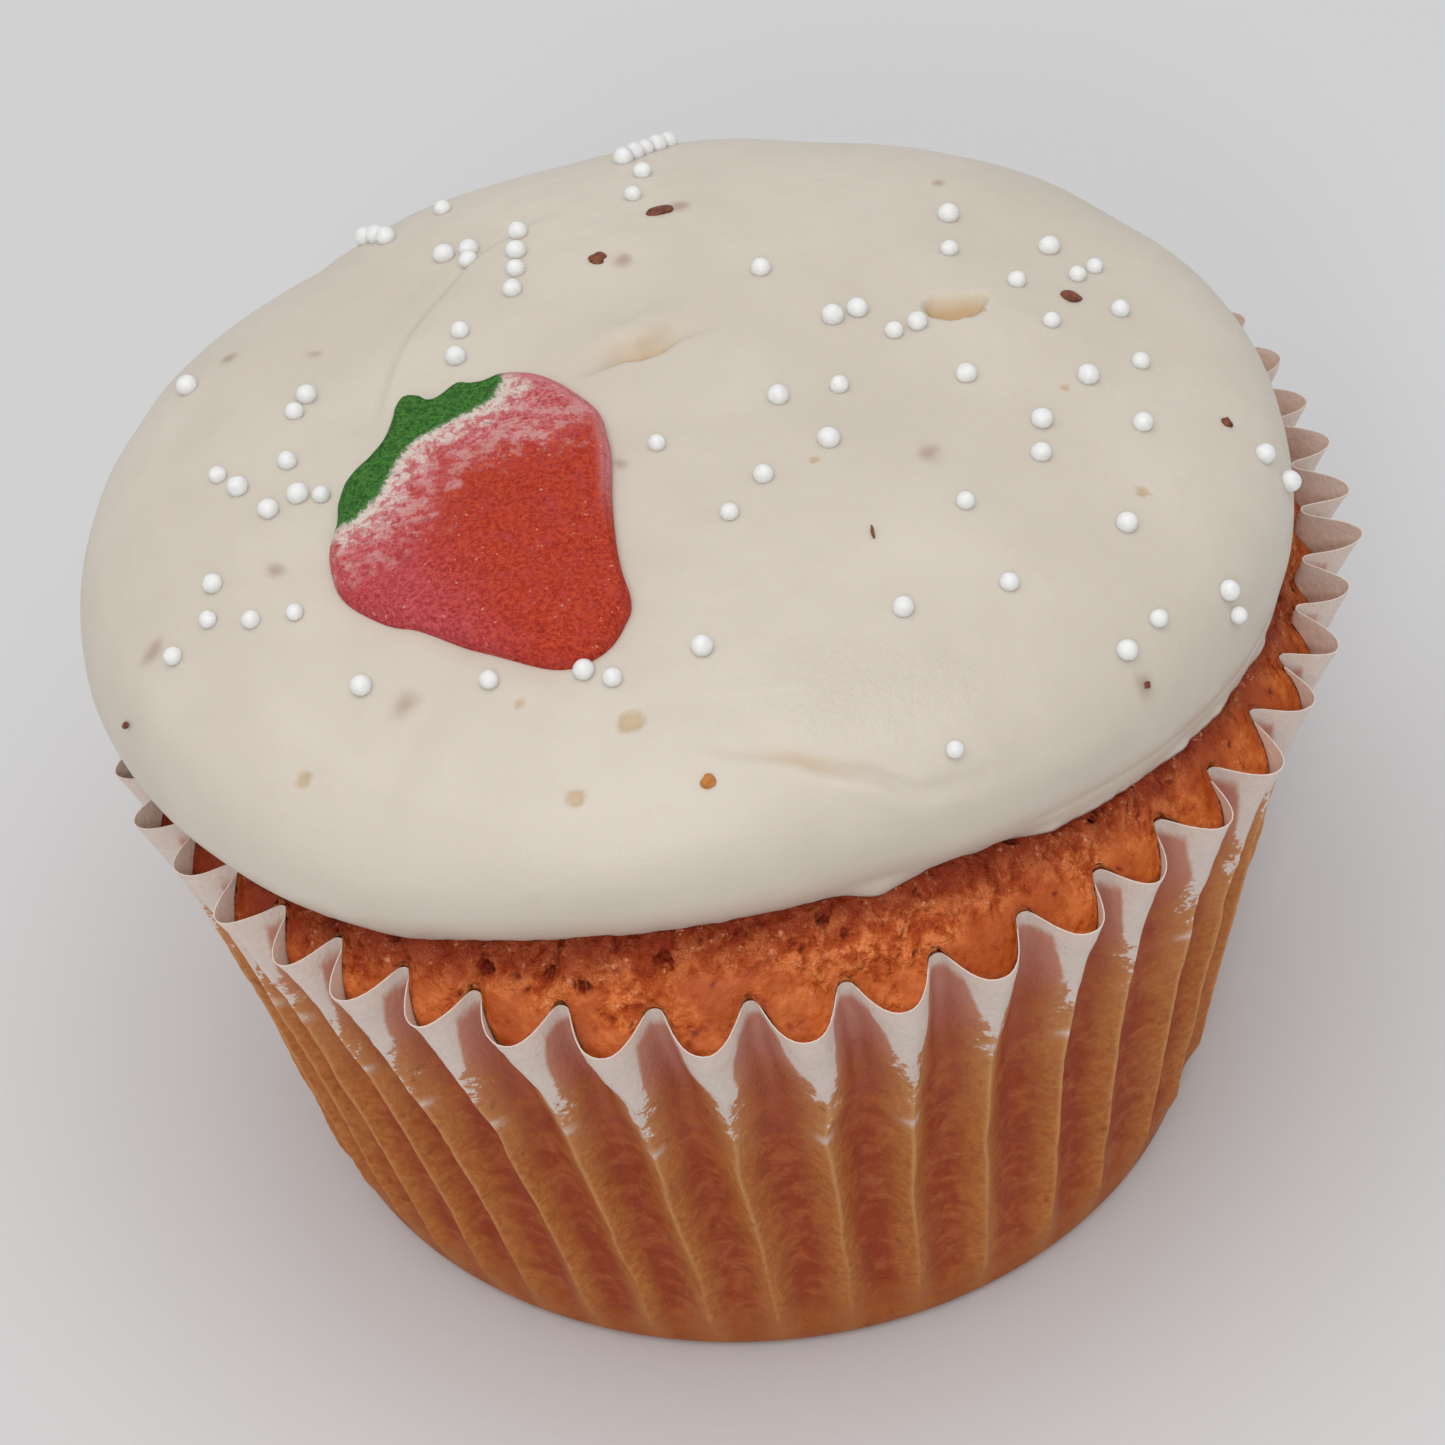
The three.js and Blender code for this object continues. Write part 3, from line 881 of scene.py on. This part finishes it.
def frosting_marks(x, y):
    """Relief of the spread buttercream above the plain dome, and its masks."""
    flat = np.stack([x, y, 0 * x], axis=-1)
    turn = np.arctan2(x, -y)
    radius = np.hypot(x, y)
    relief = noises(flat, (0.26, 9, 52), (0.08, 4, 53)) + sweep_step(turn, radius) + knife_lines(turn, radius)
    # Each mark also gives the painted shade in its hollows.
    hollow_shade = 0 * x
    for mark in (middle_fold, front_crease, pocket, small_pits):
        mark_relief, mark_shade = mark(x, y, flat)
        relief = relief + mark_relief
        hollow_shade = np.maximum(hollow_shade, mark_shade)
    return relief, {"hollow_shade": hollow_shade, "wet": wet_patch(x, y, flat), "stain": stains(x, y, flat)}


def frosting_point(x, y):
    """Points on the top of the buttercream, its marks included."""
    turn = np.arctan2(x, -y)
    share = np.hypot(x, y) / frosting_radius(turn)
    side = edge_height(turn) + side_height(turn)
    rise = dome_rise(share, FROSTING_FULLNESS)
    relief, _ = frosting_marks(x, y)
    out, up = dome_normal(share, rise, FROSTING_TOP - side, frosting_radius(turn))
    points = np.stack([x, y, side + (FROSTING_TOP - side) * rise], axis=-1)
    return points + relief[..., None] * np.stack([out * np.sin(turn), -out * np.cos(turn), up], axis=-1)


def dome_normal(share, rise, height, radius):
    """Outward and upward parts of a dome's normal."""
    power = FROSTING_FULLNESS - 1
    out = np.minimum(share, 1) ** power / radius
    up = np.maximum(rise, 1e-4) ** power / height
    length = np.hypot(out, up)
    return out / length, up / length


def even_shares():
    """Shares of the radius and of the rise for the top's rings, evenly spaced along the curve, edge first."""
    slope = np.linspace(0, math.pi / 2, 4000)
    shares = np.stack([np.cos(slope), np.sin(slope)], axis=-1) ** (2 / FROSTING_FULLNESS)
    lengths = lengths_along(shares * (FROSTING_RADIUS, TYPICAL_RISE))
    return evenly(shares, lengths, int(lengths[-1] / TOP_SPACING))


def frosting_underside(turn):
    for share, step in UNDERSIDE_RINGS:
        ring_turn = turn[::step]
        radius = share * (frosting_radius(ring_turn) - FROSTING_TUCK)
        flat = around(ring_turn, radius, 0)
        height = crown_height(flat[:, 0], flat[:, 1]) - SEAT
        yield around(ring_turn, radius, np.maximum(height, OVERHANG_HEIGHT + UNDERSIDE_LIFT))


def frosting_side(turn):
    """Rings up the side, from the edge that lies on the cake or hangs over it."""
    full = frosting_radius(turn)
    edge = edge_height(turn)
    seated = np.maximum(edge - CAD_GAP - SEAT, OVERHANG_HEIGHT)
    ragged = noises(around(turn, full, 0), (0.14, 1.6, 71), (0.07, 0.7, 72))
    lip = 1 - smooth(turn_between(turn, LIP_MIDDLE), LIP_REACH * 0.75, LIP_REACH)
    skirt = bump(turn - SKIRT_TURN, SKIRT_WIDTH)
    for share in np.arange(SIDE_ROWS) / SIDE_ROWS:
        low = 1 - smooth(share, 0.0, 0.25)
        radius = full - FROSTING_TUCK * (1 - share) ** 2.3
        radius = lerp(radius, full - 0.45 + 0.5 * share, lip * (1 - smooth(share, 0.45, 0.52)))
        radius = radius + SKIRT_SIZE * skirt * (1 - smooth(share, 0.1, 0.45)) + 1.3 * low * ragged
        height = lerp(seated, edge + side_height(turn), share) + low * (0.6 * ragged - SKIRT_DROP * skirt)
        radius = radius + side_swell(turn, radius, height) * smooth(share, 0, 0.3)
        yield around(turn, radius, height)


def frosting_top():
    """Rings over the top, from the edge inwards, with their masks."""
    for share, rise in even_shares():
        count = max(6, int(round(EDGE_COLUMNS * share)))
        turn = np.arange(count) / count * TAU
        full = frosting_radius(turn)
        radius = share * full
        flat = around(turn, radius, 0)
        side = edge_height(turn) + side_height(turn)
        height = side + (FROSTING_TOP - side) * rise
        relief, masks = frosting_marks(flat[:, 0], flat[:, 1])
        relief = relief * smooth(rise, 0.15, 0.5)
        relief = relief + side_swell(turn, radius, height) * (1 - smooth(rise, 0.2, 0.7))
        out, up = dome_normal(share, rise, FROSTING_TOP - side, full)
        yield around(turn, radius + relief * out, height + relief * up), masks


def make_frosting():
    turn = np.arange(EDGE_COLUMNS) / EDGE_COLUMNS * TAU
    plain = [*frosting_underside(turn), *frosting_side(turn)]
    marked = list(frosting_top())
    masks = {mask: blank(plain) + [values[mask] for _, values in marked] for mask in ("hollow_shade", "wet", "stain")}
    under = (0, 0, float(crown_height(np.array(0.0), np.array(0.0))) - SEAT)
    top = frosting_point(np.array([1e-6]), np.array([0.0]))[0]
    piece = ring_body("buttercream", under, plain + [ring for ring, _ in marked], top, masks)
    return dress(piece, frosting_material(), "buttercream", "frosting")


CREAM_COLORS = ((0.632, 0.565, 0.476), (0.675, 0.608, 0.518))
CREAM_MOTTLE = (0.63, 0.548, 0.438)
CREAM_FLECK = (0.62, 0.47, 0.33)
HOLLOW_SHADE_COLOR = (0.56, 0.39, 0.21)
CREAM_STAIN = (0.40, 0.28, 0.22)


def frosting_material():
    """Cream-cheese buttercream: warm white, satin, with faint colour mottling and yellow-brown shade painted
    into its hollows.
    """
    cream = Surface("buttercream")
    broad = cream.noise(12)
    medium = cream.noise(2.5, detail=4, roughness=0.6)
    fine = cream.noise(0.5, detail=4, roughness=0.6)
    wet = cream.mask("wet")
    color = cream.blend(broad, 0.35, 0.65, *CREAM_COLORS)
    color = cream.blend(medium, 0.55, 0.75, color, CREAM_MOTTLE, 0.35)
    fleck = cream.step(cream.cells(2.3), 0.0, 0.14, 0.28, 0.0)
    color = cream.mix(cream.times(fleck, cream.step(medium, 0.45, 0.6)), color, CREAM_FLECK)
    # Painted shade: yellow-brown in the marks' hollows.
    color = cream.mix(cream.times(cream.mask("hollow_shade"), 0.95), color, HOLLOW_SHADE_COLOR)
    color = cream.mix(cream.times(cream.mask("stain"), 0.75), color, CREAM_STAIN)
    ripple = cream.plus(cream.times(medium, 0.8), cream.times(fine, 0.25))
    rough = cream.times(cream.noise(0.55, roughness=0.7), wet)
    normal = cream.relief(ripple, 0.10)
    return cream.finish(
        Base_Color=color,
        Roughness=cream.step(wet, 0.0, 1.0, 0.42, 0.30),
        Specular_IOR_Level=0.45,
        Normal=cream.relief(rough, 0.06, normal),
        **scatter(0.35, (1.0, 0.75, 0.5), 1.2),
    )


# ---- Sugar strawberry ----

# Its own axes have the tip towards -Y. The outline goes from the left shoulder over the leaf cap's bumps and
# the right shoulder to the tip, and back up the left side.
BERRY_OUTLINE = [
    (-7.8, 1.0), (-7.4, 2.6), (-6.9, 3.6), (-5.9, 4.9), (-5.3, 6.1), (-4.2, 7.3), (-2.9, 7.9), (-1.5, 8.7),
    (-0.4, 9.9), (0.4, 11.0), (1.1, 11.3), (1.6, 10.7), (1.9, 9.9), (2.8, 10.1), (3.9, 10.3), (4.6, 9.6),
    (6.2, 9.4), (7.2, 8.6), (8.1, 7.5), (8.7, 5.8), (9.1, 3.8), (8.7, 2.1), (8.2, 0.6), (6.7, -2.5),
    (5.6, -5.1), (4.9, -7.2), (4.4, -9.2), (3.5, -10.2), (2.3, -11.0), (1.0, -11.2), (-0.3, -10.9),
    (-1.7, -9.7), (-3.8, -7.0), (-5.5, -4.5), (-6.6, -3.3), (-7.4, -1.6), (-7.8, -0.2),
]
LEAF_EDGE = [
    (-8.5, 4.4), (-6.5, 4.0), (-5.2, 3.9), (-3.5, 4.6), (-1.1, 6.6), (-0.1, 7.0), (1.5, 7.1), (3.3, 7.2),
    (4.6, 7.4), (5.6, 8.3), (6.5, 10.5),
]
BERRY_TURN = rad(24)
BERRY_THICKNESS = 0.83
BERRY_CROWN = 0.25
BERRY_SINK = 0.15
LEAF_RAISE = 0.12
OUTLINE_POINTS = 1600
BERRY_COLUMNS = 300
BERRY_STEPS = 59

# The rounded edge from below upwards: shares of the outline, and heights.
BERRY_EDGE = [
    (0.985, -0.5), (0.998, -0.2), (1.0, 0.05), (0.997, 0.3), (0.988, 0.5), (0.973, 0.66), (0.952, 0.77),
]


def closed_curve(corners, count):
    """Points evenly spaced round a smooth closed curve through the corners."""
    corners = np.array(corners, float)
    share = np.arange(24)[:, None] / 24
    spans = []
    for index in range(len(corners)):
        a, b, c, d = (corners[(index + step) % len(corners)] for step in (-1, 0, 1, 2))
        straight = 2 * b + (c - a) * share
        bent = (2 * a - 5 * b + 4 * c - d) * share ** 2 + (3 * b - a - 3 * c + d) * share ** 3
        spans.append(0.5 * (straight + bent))
    dense = np.concatenate(spans + [corners[:1]])
    return evenly(dense, lengths_along(dense), count)


def turned(points, angle):
    x, y = points[..., 0], points[..., 1]
    cosine, sine = math.cos(angle), math.sin(angle)
    return np.stack([x * cosine - y * sine, x * sine + y * cosine], axis=-1)


def make_strawberry():
    outline = closed_curve(BERRY_OUTLINE[::-1], OUTLINE_POINTS)
    corners = outline[::20]
    placed = turned(outline, BERRY_TURN)
    shift = (BERRY_LOW[:2] + BERRY_HIGH[:2] - placed.min(axis=0) - placed.max(axis=0)) / 2
    rings = []
    masks = {"leaf": [], "down": [], "across": [], "border": []}

    def add_ring(share, height, count):
        own = closed_curve(corners, count) * share
        across, down = own.T
        spot = turned(own, BERRY_TURN) + shift
        ground = frosting_point(spot[:, 0], spot[:, 1])[:, 2]
        distance, _ = line_place(across, down, LEAF_EDGE)
        flat = np.stack([across, down, 0 * down], axis=-1)
        lumps = noises(flat, (0.10, 2.8, 81), (0.045, 0.75, 82), (0.02, 0.4, 83))
        relief = (lumps + LEAF_RAISE * smooth(distance, -0.3, 0.3)) * smooth(1 - share, 0.0, 0.06)
        rings.append(np.column_stack([spot, ground + CAD_GAP - BERRY_SINK + height + relief]))
        masks["leaf"].append(distance)
        masks["down"].append(down)
        masks["across"].append(across)
        masks["border"].append(np.full(count, 1 - share))

    for share, height in BERRY_EDGE:
        add_ring(share, height, BERRY_COLUMNS)
    for step in range(BERRY_STEPS - 3, 0, -1):
        share = step / BERRY_STEPS
        height = BERRY_THICKNESS + BERRY_CROWN * (1 - share)
        add_ring(share, height, max(8, int(BERRY_COLUMNS * share)))
    bottom = rings[0].mean(axis=0)
    top = rings[-1].mean(axis=0)
    piece = ring_body("strawberry", bottom, rings, top, masks)
    return dress(piece, berry_material(), "pressed_sugar", "sugar_strawberry")


REDS = ((0.38, 0.020, 0.009), (0.60, 0.072, 0.028))
RED_BLOTCH = (0.50, 0.060, 0.060)
CRIMSONS = ((0.44, 0.034, 0.048), (0.62, 0.110, 0.130))
PINKS = ((0.50, 0.052, 0.065), (0.68, 0.22, 0.22))
PINK_BLOTCH = (0.70, 0.40, 0.38)
BARE_SUGAR = (0.75, 0.64, 0.58)
EDGE_PINK = (0.68, 0.26, 0.27)
DARK_GRAIN = (0.20, 0.012, 0.008)
BRIGHT_GRAIN = (0.85, 0.42, 0.30)
GREENS = ((0.016, 0.090, 0.011), (0.070, 0.230, 0.036))


def berry_material():
    """Pressed sugar with sprayed colour: a green leaf cap, a pale band below it, then pink and red."""
    berry = Surface("pressed_sugar")
    spray = berry.noise(0.24, roughness=0.8)
    cloud = berry.noise(2.4, detail=5, roughness=0.7)
    blotch = berry.noise(0.9, detail=4, roughness=0.7)
    grain = berry.cells(0.36)
    leaf = berry.mask("leaf")
    across = berry.mask("across")
    below = berry.times(leaf, -1.0)
    jitter = berry.swing(spray, 4.5)
    drift = berry.swing(cloud, 7.0)
    lumps = berry.swing(blotch, 5.0)
    band = berry.plus(berry.plus(below, jitter), lumps)
    depth = berry.plus(berry.plus(band, drift), berry.step(across, 1.0, 6.5, 0.0, -1.8))
    red = berry.blend(spray, 0.34, 0.66, *REDS)
    red = berry.blend(blotch, 0.50, 0.66, red, RED_BLOTCH, 0.5)
    left = berry.plus(across, berry.times(drift, 0.5))
    crimson = berry.blend(spray, 0.36, 0.64, *CRIMSONS)
    red = berry.blend(left, -0.5, -5.5, red, crimson, 0.85)
    pink = berry.blend(spray, 0.36, 0.64, *PINKS)
    pink = berry.blend(blotch, 0.52, 0.42, pink, PINK_BLOTCH, 0.6)
    color = berry.blend(band, 0.0, 1.4, BARE_SUGAR, pink)
    color = berry.blend(depth, 1.8, 4.8, color, red)
    rim = berry.plus(berry.mask("border"), berry.times(jitter, 0.025))
    rim = berry.times(berry.step(rim, 0.02, 0.13, 0.8, 0.0), berry.step(across, 0.0, 4.0))
    rim = berry.times(rim, berry.step(berry.mask("down"), -5.0, 0.0))
    color = berry.mix(rim, color, EDGE_PINK)
    color = berry.blend(berry.noise(0.33), 0.58, 0.68, color, DARK_GRAIN, 0.4)
    color = berry.blend(berry.noise(0.30, detail=1), 0.71, 0.76, color, BRIGHT_GRAIN, 0.6)
    edge = berry.plus(leaf, berry.swing(spray, 1.0))
    green = berry.blend(spray, 0.36, 0.64, *GREENS)
    color = berry.blend(edge, -0.15, 0.2, color, green)
    height_map = berry.plus(berry.times(spray, 0.7), berry.times(grain, 0.6))
    return berry.finish(
        Base_Color=color,
        Roughness=0.72,
        Specular_IOR_Level=0.2,
        Normal=berry.relief(height_map, 0.22),
        **scatter(0.08, (1.0, 0.4, 0.3), 0.5),
    )


# ---- Toppings ----

# Sugar balls: a single place, or a run's first and last place and how many are in it.
BALL_RUNS = [
    ((-3.3, 21.4), (-0.8, 23.8), 5), ((-2.9, 16.6), (-2.4, 19.2), 2), ((-9.4, 13.9), (-9.8, 8.5), 4),
    (-13.8, 14.1), ((-12.3, 13.9), (-12.2, 12.7), 2), ((-18.2, 19.0), (-17.0, 17.6), 3), (-13.7, 19.5),
    ((14.3, 12.8), (14.1, 9.4), 2), ((19.6, 10.1), (17.5, 6.6), 2), ((20.9, 7.5), (22.0, 8.3), 2),
    (3.7, 8.2), ((7.3, 3.7), (8.6, 4.3), 2), ((10.5, 2.4), (11.8, 3.1), 2), ((19.0, 2.7), (22.8, 4.2), 2),
    ((-12.8, 5.5), (-13.0, 3.4), 2), ((-21.5, 3.1), (-22.1, 1.8), 2), (-27.9, 6.9),
    ((23.5, 0.1), (20.4, -1.5), 2), (14.0, -1.5), ((3.9, -2.5), (7.2, -1.8), 2),
    ((17.7, -4.9), (17.5, -7.3), 2), (23.1, -4.6), ((-2.7, -5.4), (2.8, -8.4), 2), (6.3, -6.2),
    ((-22.3, -2.5), (-21.8, -5.3), 2), ((-26.0, -2.5), (-24.9, -3.7), 2), (-20.5, -5.5), (-23.4, -5.9),
    ((13.1, -11.1), (14.8, -16.3), 2), ((29.5, -4.4), (30.7, -4.6), 2), (0.9, -11.0),
    ((21.4, -11.7), (22.3, -17.0), 2), ((-26.3, -10.1), (-26.5, -12.3), 2),
    ((-24.3, -13.2), (-22.0, -13.5), 2), (-28.5, -13.5), (9.2, -17.9), ((26.3, -13.9), (26.6, -14.6), 2),
    (20.4, -19.1), (-1.2, -19.7), (-18.6, -18.9), (-12.0, -20.3), ((-7.2, -20.5), (-5.8, -21.1), 2),
    (11.0, -25.4),
]
BALL_RADIUS = (0.46, 0.60)
BALL_JITTER = 0.08
BALL_SEAT = 0.42

# Dark fruit specks and one crumb of the cake: place, length, width and the turn of their long side.
SPECKS = [
    (-1.5, 14.8, 0.72, 0.45, rad(15)), (-5.1, 10.6, 0.50, 0.46, rad(30)), (20.4, 5.5, 0.60, 0.46, rad(-30)),
    (27.8, -3.0, 0.30, 0.30, rad(-50)), (8.1, -12.9, 0.38, 0.08, rad(95)), (21.4, -20.1, 0.20, 0.16, rad(60)),
    (-31.6, -14.4, 0.25, 0.16, rad(20)),
]
CAKE_CRUMB = (-1.4, -27.1, 0.42, 0.36, rad(20))
SPECK_THICKNESS = 0.2
SPECK_LIFT = 0.02


def surface_frame(x, y):
    """A point on the buttercream's top, and the unit normal there."""
    span = 0.3
    spots = np.array([(x, y), (x + span, y), (x - span, y), (x, y + span), (x, y - span)])
    points = frosting_point(spots[:, 0], spots[:, 1])
    normal = np.cross(points[1] - points[2], points[3] - points[4])
    return points[0], normal / np.linalg.norm(normal)


def unit_ball(subdivisions):
    """Points and faces of a ball of radius 1 with even triangles."""
    shape = bmesh.new()
    bmesh.ops.create_icosphere(shape, subdivisions=subdivisions, radius=1.0)
    points = np.array([vertex.co[:] for vertex in shape.verts])
    faces = np.array([[vertex.index for vertex in face.verts] for face in shape.faces])
    shape.free()
    return points, faces


def joined(name, parts, values=None):
    """One piece from several lists of points, each with its own faces."""
    points = np.concatenate([part for part, _ in parts])
    starts = np.cumsum([0] + [len(part) for part, _ in parts])
    faces = np.concatenate([shared + start for (_, shared), start in zip(parts, starts)])
    return mesh_piece(name, points, faces.tolist(), values)


def make_balls():
    rng = np.random.default_rng(91)
    ball, faces = unit_ball(4)
    parts = []
    for run in BALL_RUNS:
        first, last, count = run if len(run) == 3 else (run, run, 1)
        for share in np.linspace(0, 1, count):
            x = lerp(first[0], last[0], share) + rng.uniform(-BALL_JITTER, BALL_JITTER)
            y = lerp(first[1], last[1], share) + rng.uniform(-BALL_JITTER, BALL_JITTER)
            radius = rng.uniform(*BALL_RADIUS)
            spot, normal = surface_frame(x, y)
            wobble = 1 + noises(ball + 7 * len(parts), (0.05, 1.1, 92), (0.02, 0.5, 93))
            parts.append((radius * (ball * wobble[:, None] + normal * BALL_SEAT) + spot, faces))
    return dress(joined("sugar_balls", parts), ball_material(), "sugar_balls")


BALL_WHITES = ((0.78, 0.78, 0.77), (0.86, 0.86, 0.85))


def ball_material():
    ball = Surface("sugar_balls")
    grain = ball.noise(0.35)
    return ball.finish(
        Base_Color=ball.blend(grain, 0.3, 0.7, *BALL_WHITES),
        Roughness=ball.step(grain, 0.3, 0.7, 0.32, 0.48),
        Specular_IOR_Level=0.5,
        Normal=ball.relief(grain, 0.02),
        **scatter(0.7, (1.0, 0.95, 0.9), 1.0),
    )


def make_specks():
    ball, faces = unit_ball(3)
    parts = []
    for number, (x, y, length, width, angle) in enumerate(SPECKS + [CAKE_CRUMB]):
        spot, normal = surface_frame(x, y)
        rough = ball * (1 + 0.35 * noise(ball + 9 * number, 0.8, 94))[:, None]
        flat = turned(rough[:, :2] * (length, width), angle)
        points = np.column_stack([flat, rough[:, 2] * SPECK_THICKNESS])
        tilt = Vector((0, 0, 1)).rotation_difference(Vector(normal)).to_matrix()
        parts.append((points @ np.array(tilt).T + spot + normal * SPECK_LIFT, faces))
    values = {"crumb": np.repeat([0.0] * len(SPECKS) + [1.0], len(ball))}
    return dress(joined("fruit_specks", parts, values), speck_material(), "fruit_specks")


SPECK_BROWNS = ((0.115, 0.026, 0.014), (0.26, 0.080, 0.040))
CRUMB_ORANGE = (0.52, 0.20, 0.04)


def speck_material():
    speck = Surface("fruit_specks")
    grain = speck.noise(0.3, roughness=0.7)
    color = speck.blend(grain, 0.35, 0.65, *SPECK_BROWNS)
    return speck.finish(
        Base_Color=speck.mix(speck.mask("crumb"), color, CRUMB_ORANGE),
        Roughness=speck.step(grain, 0.3, 0.7, 0.35, 0.6),
        Specular_IOR_Level=0.3,
        Normal=speck.relief(grain, 0.08),
    )


# ---- Stage ----

FLOOR_REACH = 1500.0
FLOOR_GREYS = ((0.690, 0.695, 0.706), (0.712, 0.712, 0.716))

# Lamps and camera are placed in metres. A lamp has its place, its size across and its power.
LAMP_COLOR = (1.0, 0.985, 0.96)
LAMP_AIM = (0, 0, 0.03)
LAMPS = {"softbox": ((-0.07, -0.16, 0.70), 0.8, 2.3), "window": ((-0.10, -0.56, 0.44), 0.10, 0.55)}
SKY_COLOR = (0.97, 0.98, 1.0, 1)
SKY_STRENGTH = 0.58
CAMERA_DISTANCE = 0.304
CAMERA_ELEVATION = rad(48.3)
CAMERA_ROLL = rad(-5)
CAMERA_AIM = (-0.0005, 0, 0.0255)
CAMERA_LENS = 124.57
CAMERA_SENSOR = 36.0


def make_floor():
    corners = [(-FLOOR_REACH, -FLOOR_REACH, 0), (FLOOR_REACH, -FLOOR_REACH, 0)]
    corners += [(FLOOR_REACH, FLOOR_REACH, 0), (-FLOOR_REACH, FLOOR_REACH, 0)]
    floor = mesh_piece("floor", corners, [(0, 1, 2, 3)])
    sheet = Surface("pale_floor")
    floor.data.materials.append(sheet.finish(
        Base_Color=sheet.mix(sheet.noise(90), *FLOOR_GREYS),
        Roughness=0.6,
        Specular_IOR_Level=0.2,
        Normal=sheet.relief(sheet.noise(0.8), 0.02),
    ))


def aim(thing, spot):
    thing.rotation_mode = "QUATERNION"
    thing.rotation_quaternion = (Vector(spot) - thing.location).to_track_quat("-Z", "Y")


def make_lights():
    for name, (spot, size, power) in LAMPS.items():
        light = bpy.data.lights.new(name, "AREA")
        light.shape = "DISK"
        light.size = size
        light.energy = power
        light.color = LAMP_COLOR
        lamp = add_object(name, light)
        lamp.location = spot
        aim(lamp, LAMP_AIM)
    world = bpy.data.worlds.new("studio")
    bpy.context.scene.world = world
    world.use_nodes = True
    background = world.node_tree.nodes["Background"]
    background.inputs["Color"].default_value = SKY_COLOR
    background.inputs["Strength"].default_value = SKY_STRENGTH


def make_camera():
    """A long lens, looking down from the front and rolled a little."""
    camera = add_object("camera", bpy.data.cameras.new("camera"))
    camera.data.sensor_width = CAMERA_SENSOR
    camera.data.lens = CAMERA_LENS
    camera.data.clip_start = 0.01
    back, up = math.cos(CAMERA_ELEVATION), math.sin(CAMERA_ELEVATION)
    camera.location = (0, -CAMERA_DISTANCE * back, CAMERA_DISTANCE * up)
    aim(camera, CAMERA_AIM)
    camera.rotation_quaternion = camera.rotation_quaternion @ Quaternion((0, 0, 1), CAMERA_ROLL)
    bpy.context.scene.camera = camera


make_case()
make_cake()
make_frosting()
make_strawberry()
make_balls()
make_specks()
make_floor()
make_lights()
make_camera()
bpy.context.scene.view_settings.view_transform = "Standard"
